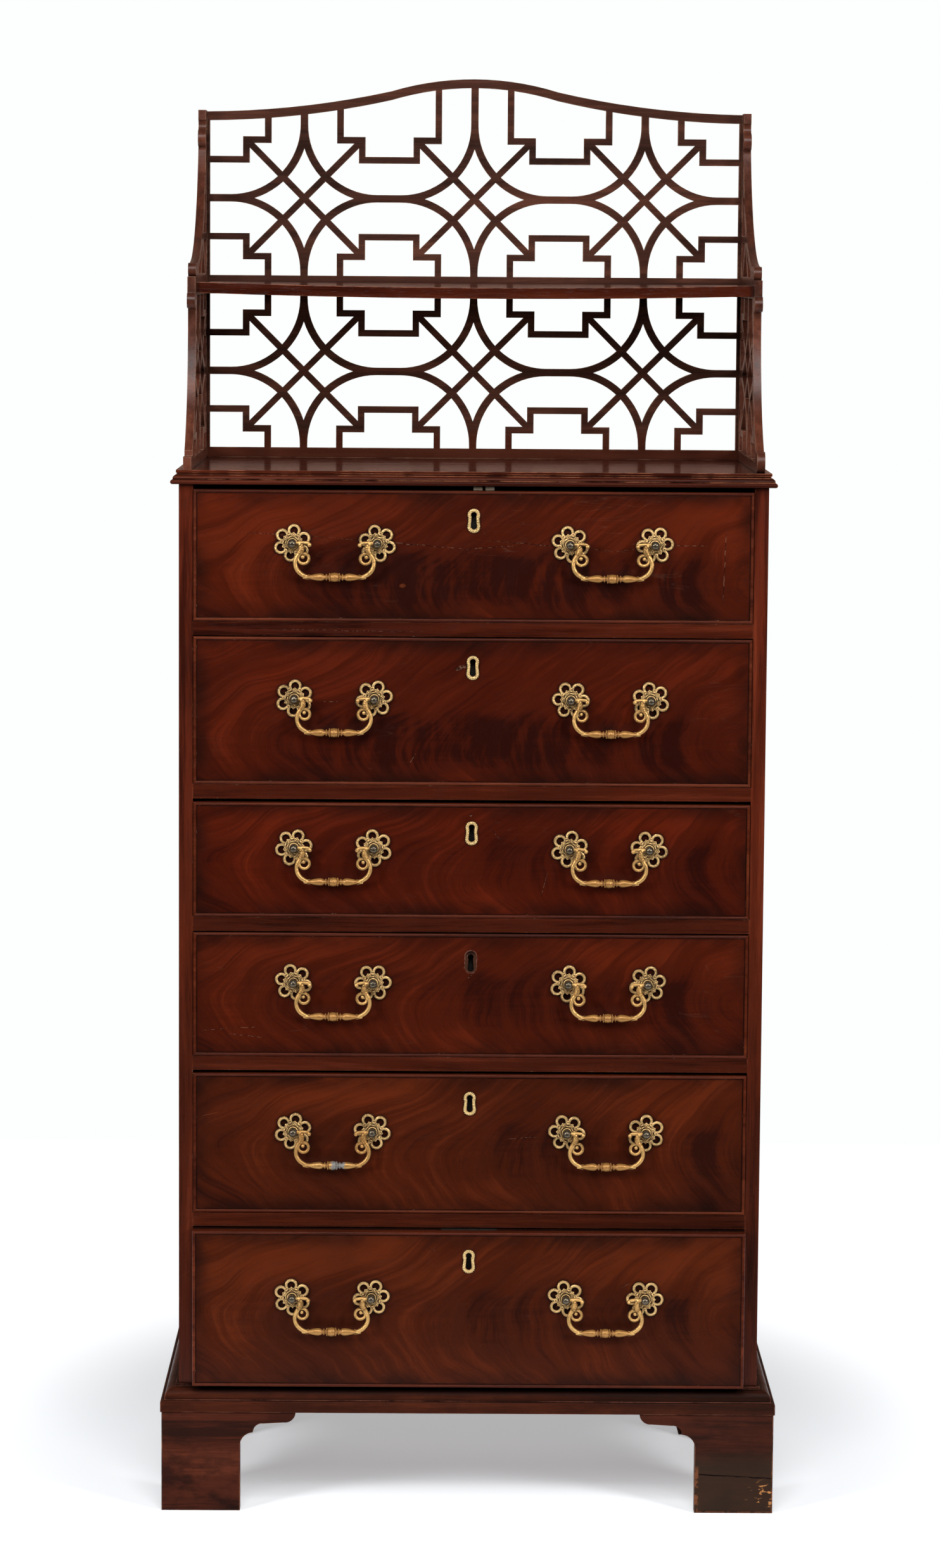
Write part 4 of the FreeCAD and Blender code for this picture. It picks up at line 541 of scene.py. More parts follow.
# bare wood where the fourth drawer has lost its escutcheon, inside a chipped pale rim, sizes in metres
lostPlate = {"drawer": 4, "height": 0.6226, "straight": 0.0062, "outer": 0.0073, "inner": 0.0066,
             "ragged": 0.0022, "outerBlur": 0.0005, "innerBlur": 0.0006, "shadowFrom": (0.006, 0.011),
             "rim": rgb(0.17, 0.072, 0.052), "wood": rgb(0.05, 0.02, 0.0115),
             "shadow": rgb(0.012, 0.0055, 0.004)}


def addLostPlate(tree, spot, colour):
    x, _, z = apart(tree, spot)
    rise = sums(tree, "SUBTRACT", z, lostPlate["height"])
    past = sums(tree, "SUBTRACT", sums(tree, "ABSOLUTE", rise), lostPlate["straight"])
    past = sums(tree, "MAXIMUM", past, 0.0)
    away = sums(tree, "SQRT", sums(tree, "ADD", times(tree, x, x), times(tree, past, past)))
    ragged = sums(tree, "SUBTRACT", noiseOf(tree, spot, 420.0, 3.0, 0.6), 0.5)
    away = sums(tree, "MULTIPLY_ADD", ragged, lostPlate["ragged"], away)
    broken = ranged(tree, noiseOf(tree, spot, 260.0, 2.0), 0.42, 0.56, 0.25, 1.0)
    outer, inner = lostPlate["outer"], lostPlate["inner"]
    chipped = times(tree, ranged(tree, away, outer, outer - lostPlate["outerBlur"]), broken)
    colour = mixed(tree, chipped, colour, lostPlate["rim"])
    shaded = ranged(tree, rise, *lostPlate["shadowFrom"])
    shaded = mixed(tree, shaded, lostPlate["wood"], lostPlate["shadow"])
    return mixed(tree, ranged(tree, away, inner, inner - lostPlate["innerBlur"]), colour, shaded)


def makeDrawerVeneer(number):
    material, tree, shader, spot = startMaterial("flame_mahogany_%d" % number)
    middle, shift, crackled, band, ends, bright, green, crown = figures[number]
    dark, mid, light = (rgb(red * bright, leaf * bright * green, blue * bright * min(green, 1))
                        for red, leaf, blue in veneer["tones"])
    # ten units to the metre, each drawer cut from another depth of the log
    local = mapped(tree, spot, (shift * 10, number * 0.04, -middle * 10), (0, 0, 0), (10, 0.4, 10))
    figure = place(tree, flameVeneer, Vector=local, Dark=dark, Middle=mid, Light=light, Band=band,
                   Ends=ends, Crown=crown)
    # darker in a soft frame inside the cockbead, with a dark line of painted shade along the bead itself
    low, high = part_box("drawer_%d_front" % number)
    x, _, z = apart(tree, spot)
    fromEnd = sums(tree, "SUBTRACT", high.x, sums(tree, "ABSOLUTE", x))
    fromMiddle = sums(tree, "ABSOLUTE", sums(tree, "SUBTRACT", z, (low.z + high.z) / 2))
    fromRim = sums(tree, "MINIMUM", fromEnd, sums(tree, "SUBTRACT", (high.z - low.z) / 2, fromMiddle))
    dirt = ranged(tree, noiseOf(tree, spot, 16.0, 4.0, 0.6), 0.32, 0.66, 0.15, 1.0)
    framed = times(tree, ranged(tree, fromRim, 0.003, veneer["frame"], veneer["framed"], 0.0), dirt)
    lined = ranged(tree, fromRim, veneer["bead"], veneer["bead"] + veneer["beadLine"],
                   veneer["beadLined"], 0.0)
    waxed = sums(tree, "MAXIMUM", framed, lined)
    colour = mixed(tree, waxed, figure.outputs["Colour"], polished["grime"])
    hairlines = place(tree, crackle, Vector=spot, Amount=crackled).outputs["Line"]
    colour = mixed(tree, hairlines, colour, flawTones["chip"])
    colour = addFlaws(tree, spot, colour, flaws[number])
    if number == lostPlate["drawer"]:
        colour = addLostPlate(tree, spot, colour)
    finishWood(tree, shader, spot, figure, veneerLook, colour)
    return material


giltLook = {"patches": 380.0, "cloud": 55.0, "hollows": 0.005, "patchShare": 0.35, "cloudShare": 0.3,
            "hollowShare": 0.65, "bump": 0.8}


def makeGilt(name, dark, bright, roughness, metal=0.72, cast=0.0005, hollow=0.5):
    # brown lacquer left in the hollows, pale rubbed gilding on the high parts
    material, tree, shader, spot = startMaterial(name)
    patches = noiseOf(tree, spot, giltLook["patches"], 4.0, 0.65)
    cloud = noiseOf(tree, spot, giltLook["cloud"], 2.0)
    shade = addNode(tree, "ShaderNodeAmbientOcclusion", {"Distance": giltLook["hollows"]}, samples=6)
    worn = times(tree, shade.outputs["AO"], giltLook["hollowShare"])
    worn = sums(tree, "MULTIPLY_ADD", cloud, giltLook["cloudShare"], worn)
    worn = sums(tree, "MULTIPLY_ADD", patches, giltLook["patchShare"], worn)
    colour = mixed(tree, ranged(tree, worn, hollow, 1.0), rgb(*dark), rgb(*bright))
    tree.links.new(colour, shader.inputs["Base Color"])
    tree.links.new(ranged(tree, worn, 0.4, 1.0, roughness + 0.2, roughness), shader.inputs["Roughness"])
    bump = addNode(tree, "ShaderNodeBump", {"Strength": giltLook["bump"], "Distance": cast,
                   "Height": patches})
    tree.links.new(bump.outputs["Normal"], shader.inputs["Normal"])
    shader.inputs["Metallic"].default_value = metal
    return material


giltMaterial = makeGilt("gilt_brass", (0.045, 0.018, 0.006), (0.82, 0.535, 0.225), 0.3, cast=0.0011,
                        hollow=0.66)
ropeMaterial = makeGilt("gilt_brass_escutcheon", (0.12, 0.065, 0.02), (0.78, 0.56, 0.25), 0.3, 0.6)
bailMaterial = makeGilt("gilt_brass_bails", (0.06, 0.024, 0.007), (0.68, 0.395, 0.135), 0.3,
                        cast=0.0009, hollow=0.62)
gripMaterial = makeGilt("gilt_brass_grips", (0.15, 0.05, 0.011), (0.41, 0.2, 0.052), 0.34, 0.45)
ballMaterial = makeGilt("bronze_balls", (0.035, 0.026, 0.017), (0.11, 0.088, 0.06), 0.2)
# the top bolt's pale colour is painted light so it shows in the shaded gap; the other bolts and the lock
# cases are painted near black as shade
lockMaterial = makeGilt("lock_brass", (0.4, 0.3, 0.2), (0.85, 0.7, 0.5), 0.4, 0.2)
agedLockMaterial = makeGilt("aged_lock_brass", (0.005, 0.0035, 0.0025), (0.018, 0.012, 0.008), 0.6, 0.3)

# the left handle of the fifth drawer was broken at its grip and filled with grey solder
solderLook = {"drawer": 5, "side": "left", "across": -0.1466, "halfLong": (0.0085, 0.0065),
              "ragged": 0.008, "below": (0.405, 0.4), "tone": rgb(0.2, 0.185, 0.17), "metal": 0.1,
              "giltMetal": 0.72}


def makeMendedGilt():
    material = makeGilt("gilt_brass_mended", (0.2, 0.075, 0.016), (0.5, 0.27, 0.085), 0.36)
    tree = material.node_tree
    shader = tree.nodes["Principled BSDF"]
    gilt = shader.inputs["Base Color"].links[0].from_socket
    spot = addNode(tree, "ShaderNodeTexCoord").outputs["Object"]
    x, _, z = apart(tree, spot)
    ragged = sums(tree, "MULTIPLY_ADD", noiseOf(tree, spot, 180.0, 3.0), solderLook["ragged"],
                  -solderLook["ragged"] / 2)
    away = sums(tree, "ADD", sums(tree, "SUBTRACT", x, solderLook["across"]), ragged)
    away = ranged(tree, sums(tree, "ABSOLUTE", away), *solderLook["halfLong"])
    solder = times(tree, away, ranged(tree, z, *solderLook["below"]))
    tree.links.new(mixed(tree, solder, gilt, solderLook["tone"]), shader.inputs["Base Color"])
    tree.links.new(ranged(tree, solder, 0.0, 1.0, solderLook["giltMetal"], solderLook["metal"]),
                   shader.inputs["Metallic"])
    return material


mendedMaterial = makeMendedGilt()
print("materials ready")


def paint(name, material):
    slots = nodes[name].data.materials
    slots.clear()
    slots.append(material)


solidFinishes = {
    "case_side_left": uprightWood, "case_side_right": uprightWood, "case_bottom": levelWood,
    "back_boards": backWood, "drawer_rails": levelWood, "drawer_runners": plainWood,
    "dust_boards": plainWood, "drawer_stops": plainWood, "top_board": topWood,
    "base_moulding": mouldingWood, "front_feet": footWood, "rear_feet": footWood,
    "foot_blocks": plainWood, "gallery_back": fretWood, "gallery_side_left": fretSideWood,
    "gallery_side_right": fretSideWood, "gallery_shelf": shelfWood}
drawers = range(1, 7)
for name, material in solidFinishes.items():
    paint(name, material)
for number in drawers:
    paint("drawer_%d_front" % number, makeDrawerVeneer(number))
    paint("drawer_%d_box" % number, plainWood)
    paint("drawer_%d_cockbead" % number, beadWood)
    paint("drawer_%d_lock_bolt" % number, lockMaterial if number == 1 else agedLockMaterial)
    for piece in ("brasses", "bail_left", "bail_right"):
        paint("drawer_%d_%s" % (number, piece), giltMaterial)
print("solids finished")


# the brasses are modelled once, in millimetres round their own post, then copied
facing = (math.pi / 2, 0, 0)      # turns a ring or ball to face the front


def millimetres(*lengths):
    return tuple(length * 0.001 for length in lengths)


def selectOnly(piece):
    bpy.ops.object.select_all(action="DESELECT")
    piece.select_set(True)
    bpy.context.view_layer.objects.active = piece


def startPiece(addPrimitive, **sizes):
    bpy.ops.object.select_all(action="DESELECT")
    addPrimitive(**sizes)
    bpy.ops.object.transform_apply(location=True, rotation=True, scale=True)
    bpy.ops.object.mode_set(mode="EDIT")
    bpy.ops.mesh.select_all(action="DESELECT")
    return bpy.context.object


def addBead(spot, shape, turn=(0, 0, 0), around=6, rings=4):
    # added in edit mode, so it joins the piece and stays selected alone
    bpy.ops.mesh.select_all(action="DESELECT")
    bpy.ops.mesh.primitive_uv_sphere_add(segments=around, ring_count=rings, radius=1.0, rotation=turn,
                                         location=millimetres(*spot), scale=millimetres(*shape))


def addRing(spot, wide, thick, around, sides=8):
    bpy.ops.mesh.select_all(action="DESELECT")
    bpy.ops.mesh.primitive_torus_add(major_radius=wide * 0.001, minor_radius=thick * 0.001,
                                     major_segments=around, minor_segments=sides,
                                     location=millimetres(*spot), rotation=facing)


def copyAround(count, angle, centre, axis=(0, 1, 0)):
    bpy.ops.mesh.spin(steps=count, dupli=True, angle=math.radians(angle),
                      center=millimetres(*centre), axis=axis)


def joinCopies(copies, name):
    bpy.ops.object.select_all(action="DESELECT")
    for made in copies:
        made.select_set(True)
    bpy.context.view_layer.objects.active = copies[0]
    bpy.ops.object.join()
    copies[0].name = name
    return copies[0]


def closePiece(piece, name, smooth=60):
    bpy.ops.object.mode_set(mode="EDIT")
    bpy.ops.mesh.select_all(action="SELECT")
    bpy.ops.mesh.normals_make_consistent(inside=False)
    bpy.ops.object.mode_set(mode="OBJECT")
    bpy.ops.object.shade_smooth_by_angle(angle=math.radians(smooth))
    piece.name = name
    return piece


def drawTube(name, points, thick, roundness, steps, closed=False):
    # a round bar along a smooth curve: each point is a place in millimetres and a share of the thickness
    curve = bpy.data.curves.new(name, "CURVE")
    curve.dimensions = "3D"
    curve.bevel_depth = thick * 0.001
    curve.bevel_resolution = roundness
    curve.resolution_u = steps
    curve.use_fill_caps = not closed
    line = curve.splines.new("NURBS")
    line.points.add(len(points) - 1)
    for point, (x, y, z, share) in zip(line.points, points):
        point.co = millimetres(x, y, z) + (1.0,)
        point.radius = share
    line.order_u = 3 if closed else 4
    line.use_cyclic_u = closed
    line.use_endpoint_u = not closed
    tube = bpy.data.objects.new(name, curve)
    bpy.context.scene.collection.objects.link(tube)
    selectOnly(tube)
    bpy.ops.object.convert(target="MESH")
    return bpy.context.object


rosette = {"loops": 6, "loopMiddle": 13.7, "loopWide": 5.7, "loopThick": 1.6, "depth": 1.6,
           "lipWide": 4.75, "lipThick": 0.55, "lipProud": 1.0,
           "ropeBeads": 21, "ropeSpan": 268.0, "ropeMiddle": 6.5, "ropeProud": 0.95, "ropeTwist": 38,
           "ropeBead": (0.55, 0.85, 1.15),
           "roseMiddle": 9.4, "petals": 5, "petalOut": 1.65, "petalProud": 1.5, "petalLean": 0.3,
           "petal": (1.25, 1.0, 1.05), "eyeProud": 2.1, "eye": (1.15, 1.0, 1.15),
           # little scroll knobs where two loops meet: aside, inward of the loop's middle, proud, shape
           "knobs": ((4.6, 4.9, 1.3, (1.35, 1.3, 1.35)), (5.9, 2.7, 1.0, (1.05, 1.0, 1.05))),
           # rings round the post: proud, radius, thickness, steps
           "rings": ((0.1, 6.9, 1.6, 28), (2.2, 4.7, 1.0, 24))}


def modelRosette():
    # one open loop with a rope edge and a rose at its foot, turned round the post
    middle, deep, rose = rosette["loopMiddle"], -rosette["depth"], rosette["roseMiddle"]
    piece = startPiece(bpy.ops.mesh.primitive_torus_add, major_radius=rosette["loopWide"] * 0.001,
                       minor_radius=rosette["loopThick"] * 0.001, major_segments=28, minor_segments=10,
                       location=millimetres(0, deep, middle), rotation=facing)
    addRing((0, deep - rosette["lipProud"], middle), rosette["lipWide"], rosette["lipThick"], 22, 6)
    start, out = math.radians(-rosette["ropeSpan"] / 2), rosette["ropeMiddle"]
    addBead((out * math.sin(start), deep - rosette["ropeProud"], middle + out * math.cos(start)),
            rosette["ropeBead"], (0, start + math.radians(rosette["ropeTwist"]), 0))
    copyAround(rosette["ropeBeads"] - 1, rosette["ropeSpan"], (0, deep, middle))
    addBead((0, deep - rosette["eyeProud"], rose), rosette["eye"])
    addBead((0, deep - rosette["petalProud"], rose + rosette["petalOut"]), rosette["petal"],
            (rosette["petalLean"], 0, 0))
    copyAround(rosette["petals"] - 1, 360 - 360 / rosette["petals"], (0, deep, rose))
    for side in (-1, 1):
        for aside, inward, proud, shape in rosette["knobs"]:
            addBead((side * aside, deep - proud, middle - inward), shape)
    bpy.ops.mesh.select_all(action="SELECT")
    copyAround(rosette["loops"] - 1, 360 - 360 / rosette["loops"], (0, 0, 0))
    for proud, wide, thick, steps in rosette["rings"]:
        addRing((0, deep - proud, 0), wide, thick, steps)
    return closePiece(piece, "rosette_pattern")


postBall = {"radius": 4.85, "standoff": 12.0, "capShare": 0.9, "neck": 3.4, "foot": 2.6,
            "footSpread": 1.7, "footMiddle": -2.0}


def modelPostBall():
    piece = startPiece(bpy.ops.mesh.primitive_uv_sphere_add, segments=24, ring_count=16,
                       radius=postBall["radius"] * 0.001,
                       location=millimetres(0, -postBall["standoff"], 0), rotation=facing)
    # draw the back of the ball out into its stalk
    bpy.ops.object.mode_set(mode="OBJECT")
    for polygon in piece.data.polygons:
        cap = -postBall["standoff"] + postBall["radius"] * postBall["capShare"]
        polygon.select = polygon.center.y > cap * 0.001
    bpy.ops.object.mode_set(mode="EDIT")
    bpy.ops.mesh.select_mode(type="FACE")
    for length in (postBall["neck"], postBall["foot"]):
        bpy.ops.mesh.extrude_region_move(TRANSFORM_OT_translate={"value": millimetres(0, length, 0)})
    bpy.ops.transform.resize(value=(postBall["footSpread"], 1.0, postBall["footSpread"]),
                             center_override=millimetres(0, postBall["footMiddle"], 0))
    bpy.ops.mesh.select_mode(type="VERT")
    return closePiece(piece, "post_ball_pattern", 50)


bail = {"halfSpan": 44.25, "drop": 37.0,
        # inward from the post, height, thickness: hook over the post, then the scroll and swan neck
        "hook": ((1.5, 0.2, 1.7), (5.5, 0.6, 1.9), (10.0, 0.9, 2.2), (14.5, 0.8, 1.9), (18.2, 0.3, 1.7),
                 (18.4, -1.8, 1.5)),
        "neck": ((5.6, 1.0, 1.8), (8.8, 0.2, 2.7), (9.8, -3.4, 3.3), (10.2, -7.6, 3.2), (7.6, -11.4, 2.8),
                 (4.4, -15.6, 2.4), (3.1, -21.0, 2.3), (3.8, -26.4, 2.35), (6.7, -31.4, 2.45),
                 (11.4, -35.2, 2.5), (15.6, -36.7, 2.2), (18.5, -37.0, 1.5)),
        "loop": (11.9, -16.5, 5.7, 1.7), "bud": (11.2, -14.7, 2.4), "knob": (18.0, -1.4, 2.5),
        # rope edge of the open loop
        "ropeBeads": 24, "ropeSpan": 290, "ropeStart": -62, "ropeMiddle": 6.4, "ropeProud": 1.05,
        "ropeTwist": 38, "ropeBead": (0.55, 0.8, 1.2),
        # leaf ribs laid across the scroll: inward from the post, height, lean
        "ribs": ((8.0, -1.2, 0.6), (9.4, -3.0, 0.9), (10.2, -5.0, 1.2), (9.9, -7.2, 1.6),
                 (8.6, -9.2, 2.0), (6.9, -11.2, 2.2)),
        "ribAside": 0.9, "ribProud": 2.5, "rib": (0.65, 0.95, 2.4),
        # ribs down the swan neck: first place inward, slope and curl, first height and fall, lean and turn
        "neckRibs": 7, "neckRibProud": 1.95, "neckRib": (0.55, 0.6, 1.7),
        "neckRun": (3.3, 0.4, 5.2), "neckFall": (-19.5, -13.0), "neckLean": (-0.1, -0.75),
        # pointed leaves where the neck grips the bar: turn in degrees, lean
        "husk": ((0, 0.42), (90, 0.4), (180, 0.42), (270, 0.4)), "huskAlong": 15.4, "huskOut": 1.75,
        "huskLength": 7.5, "huskFoot": 1.7, "huskTip": 0.2, "huskFlat": 0.7,
        # along the grip from the husk to the middle: distance inward from the post, radius
        "grip": ((15.5, 1.1), (17.0, 1.6), (20.0, 2.5), (24.0, 3.5), (27.5, 4.05), (30.0, 4.15),
                 (32.0, 3.8), (33.3, 3.0), (34.0, 2.4), (34.8, 2.4), (35.2, 3.1), (36.0, 3.3),
                 (36.7, 3.0), (37.2, 2.4), (38.0, 2.6), (38.5, 3.4), (39.4, 3.9), (40.0, 3.7),
                 (40.4, 3.9), (41.2, 4.7), (41.9, 4.9), (42.3, 4.6), (42.7, 4.85), (43.4, 5.1),
                 (44.25, 5.15)),
        # beaded collars of the grip: inward from the post, radius, bead, how many
        "collars": ((39.4, 4.0, (0.8, 0.85, 0.85), 14), (36.0, 3.1, (0.6, 0.7, 0.7), 12)),
        # the turned bar is browner than the scrolls
        "brownHalf": 28.0, "brownBelow": -31.0}


def addBailTube(part):
    points = [(inward - bail["halfSpan"], 0, height, thick) for inward, height, thick in bail[part]]
    return drawTube(part, points, 1.0, 3, 5)


def modelGrip():
    # a turned bar: a disc drawn out along its axis, one ring for each entry
    half, drop = bail["halfSpan"], -bail["drop"]
    before, radius = bail["grip"][0]
    grip = startPiece(bpy.ops.mesh.primitive_circle_add, vertices=20, radius=radius * 0.001,
                      fill_type="NGON", location=millimetres(before - half, 0, drop),
                      rotation=(0, math.pi / 2, 0))
    bpy.ops.mesh.select_all(action="SELECT")
    for along, thick in bail["grip"][1:]:
        step = millimetres(along - before, 0, 0)
        bpy.ops.mesh.extrude_region_move(TRANSFORM_OT_translate={"value": step})
        bpy.ops.transform.resize(value=(1.0, thick / radius, thick / radius),
                                 center_override=millimetres(along - half, 0, drop))
        before, radius = along, thick
    bpy.ops.mesh.delete(type="ONLY_FACE")      # the middle stays open for the mirrored half
    for along, out, shape, count in bail["collars"]:
        addBead((along - half, 0, out + drop), shape)
        copyAround(count - 1, 360 - 360 / count, (0, 0, drop), (1, 0, 0))
    bpy.ops.object.mode_set(mode="OBJECT")
    return grip


def addHusk():
    along, drop = bail["huskAlong"] - bail["halfSpan"], -bail["drop"]
    leafMiddle = millimetres(along, 0, bail["huskOut"] + drop)
    for turn, lean in bail["husk"]:
        bpy.ops.mesh.select_all(action="DESELECT")
        bpy.ops.mesh.primitive_cone_add(vertices=8, radius1=bail["huskFoot"] * 0.001,
                                        radius2=bail["huskTip"] * 0.001, depth=bail["huskLength"] * 0.001,
                                        location=leafMiddle, rotation=(0, math.pi / 2 - lean, 0))
        bpy.ops.transform.resize(value=(1.0, 1.0, bail["huskFlat"]), center_override=leafMiddle)
        bpy.ops.transform.rotate(value=math.radians(turn), orient_axis="X",
                                 center_override=millimetres(along, 0, drop))


def modelBail():
    half = bail["halfSpan"]
    hook, neck, grip = addBailTube("hook"), addBailTube("neck"), modelGrip()
    inward, height, wide, thick = bail["loop"]
    piece = startPiece(bpy.ops.mesh.primitive_torus_add, major_radius=wide * 0.001,
                       minor_radius=thick * 0.001, major_segments=28, minor_segments=8,
                       location=millimetres(inward - half, 0, height), rotation=facing)
    start, out = math.radians(bail["ropeStart"]), bail["ropeMiddle"]
    for front in (-1, 1):
        spot = (inward - half + out * math.sin(start), front * bail["ropeProud"],
                height + out * math.cos(start))
        addBead(spot, bail["ropeBead"], (0, start + math.radians(bail["ropeTwist"]), 0))
        copyAround(bail["ropeBeads"] - 1, bail["ropeSpan"], (inward - half, 0, height))
    for along, rise, radius in (bail["bud"], bail["knob"]):
        addBead((along - half, 0, rise), (radius, radius, radius), around=12, rings=8)
    for along, rise, lean in bail["ribs"]:
        for front in (-1, 1):
            addBead((along - half + bail["ribAside"], front * bail["ribProud"], rise), bail["rib"],
                    (0, lean, 0))
    (begin, slope, curl), (top, fall), (lean, turn) = bail["neckRun"], bail["neckFall"], bail["neckLean"]
    for step in range(bail["neckRibs"]):
        share = step / (bail["neckRibs"] - 1)
        for front in (-1, 1):
            spot = (begin + slope * share + curl * share ** 3 - half, front * bail["neckRibProud"],
                    top + fall * share)
            addBead(spot, bail["neckRib"], (0, lean + turn * share, 0))
    addHusk()
    bpy.ops.object.mode_set(mode="OBJECT")
    joinCopies((piece, hook, neck, grip), "bail_pattern")
    mirror = piece.modifiers.new("other_half", "MIRROR")
    mirror.use_axis = (True, False, False)
    mirror.use_bisect_axis = (True, False, False)
    mirror.use_bisect_flip_axis = (True, False, False)
    mirror.merge_threshold = 0.00005
    bpy.ops.object.modifier_apply(modifier=mirror.name)
    closePiece(piece, "bail_pattern")
    for polygon in piece.data.polygons:
        onGrip = (abs(polygon.center.x) < bail["brownHalf"] * 0.001
                  and polygon.center.z < bail["brownBelow"] * 0.001)
        polygon.material_index = 1 if onGrip else 0
    return piece


escutcheon = {"plateFront": 1.3, "belowTop": 0.0264, "beadGap": 1.72, "bead": (1.9, 1.05, 0.9),
              "twist": 14, "bandGap": 2.4, "bandThick": 1.2, "bandBehind": 0.55,
              # right half of the ring of beads from top to foot, from the middle of the keyhole's head
              "ring": ((0, 5.1), (2.0, 4.7), (3.75, 3.6), (4.85, 1.9), (5.2, 0.1), (5.0, -1.7),
                       (4.5, -3.5), (4.45, -5.4), (4.65, -7.5), (4.95, -9.6), (5.3, -11.6),
                       (5.5, -13.4), (5.1, -15.5), (3.95, -17.1), (2.1, -17.95), (0, -18.2))}


def evenSpots(half, gap):
    # equal steps round the whole outline, with the heading at each
    points = [Vector(point) for point in half] + [Vector((-x, z)) for x, z in reversed(half[1:-1])]
    points.append(points[0])
    spots, left = [], 0.0
    for first, second in zip(points, points[1:]):
        run = (second - first).length
        while left < run:
            spot = first.lerp(second, left / run)
            spots.append((spot.x, spot.y, math.atan2(second.x - first.x, second.y - first.y)))
            left += gap
        left -= run
    return spots


def modelEscutcheon():
    deep = -escutcheon["plateFront"]
    piece = None
    for x, z, heading in evenSpots(escutcheon["ring"], escutcheon["beadGap"]):
        turn = (0, heading + math.radians(escutcheon["twist"]), 0)
        if piece is None:
            piece = startPiece(bpy.ops.mesh.primitive_uv_sphere_add, segments=8, ring_count=6, radius=1.0,
                               location=millimetres(x, deep, z), rotation=turn,
                               scale=millimetres(*escutcheon["bead"]))
        else:
            addBead((x, deep, z), escutcheon["bead"], turn, 8, 6)
    # a plain cast band carries the beads
    bpy.ops.object.mode_set(mode="OBJECT")
    points = [(x, deep + escutcheon["bandBehind"], z, 1.0)
              for x, z, heading in evenSpots(escutcheon["ring"], escutcheon["bandGap"])]
    band = drawTube("escutcheon_band", points, escutcheon["bandThick"], 2, 3, closed=True)
    joinCopies((piece, band), "escutcheon_pattern")
    return closePiece(piece, "escutcheon_pattern")


def placedCopy(pattern, name, move, turn=0.0, stretch=1.0):
    made = pattern.copy()
    made.data = pattern.data.copy()
    made.data.transform(Matrix.Translation(move) @ Matrix.Rotation(turn, 4, "Y")
                        @ Matrix.Diagonal((stretch, 1, 1, 1)))
    bpy.context.scene.collection.objects.link(made)
    made.name = name
    return made


def dress(piece, materials, body):
    # clearing the materials forgets which face has which, so that is kept and given back
    marks = [polygon.material_index for polygon in piece.data.polygons]
    piece.data.materials.clear()
    for material in materials:
        piece.data.materials.append(material)
    for polygon, mark in zip(piece.data.polygons, marks):
        polygon.material_index = min(mark, len(materials) - 1)
    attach(piece, body)


# what tells the plain rosettes and the lock case from the other fittings, in metres
fitting = {"rosetteWide": 0.03, "rosetteThick": 0.004, "lockWide": 0.05, "smooth": 35}


def keepFittings(body):
    # nuts, stalks, plates and lock case stay as drawn; the castings take the place of the plain rosettes
    made = placedCopy(nodes[body + "_brasses"], body + "_brass_fittings", (0, 0, 0))
    selectOnly(made)
    bpy.ops.object.mode_set(mode="EDIT")
    bpy.ops.mesh.select_all(action="SELECT")
    bpy.ops.mesh.remove_doubles(threshold=0.00001)
    bpy.ops.mesh.separate(type="LOOSE")
    bpy.ops.object.mode_set(mode="OBJECT")
    kept = []
    for part in list(bpy.context.selected_objects):
        spots = [vertex.co for vertex in part.data.vertices]
        wide = max(spot.x for spot in spots) - min(spot.x for spot in spots)
        deep = max(spot.y for spot in spots) - min(spot.y for spot in spots)
        if wide > fitting["rosetteWide"] and deep < fitting["rosetteThick"]:
            bpy.data.objects.remove(part)
            continue
        # the lock case is painted near black as shade
        if wide > fitting["lockWide"]:
            part.data.materials.clear()
            part.data.materials.append(agedLockMaterial)
        kept.append(part)
    fittings = joinCopies(kept, body + "_brass_fittings")
    bpy.ops.object.shade_smooth_by_angle(angle=math.radians(fitting["smooth"]))
    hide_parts(body + "_brasses")
    dress(fittings, (giltMaterial, agedLockMaterial), body)


# the top drawer's handles are wider; each rosette is turned on its post by its own angle, in degrees,
# in order along the drawer
handles = {"topSpan": 93.7, "plainSpan": 88.5,
           "turns": {1: (8, 47, -12, 25), 2: (4, 18, 33, -9), 3: (20, -6, 11, 40), 4: (-15, 28, 5, 14),
                     5: (12, -20, 36, 2), 6: (-4, 22, -11, 31)}}


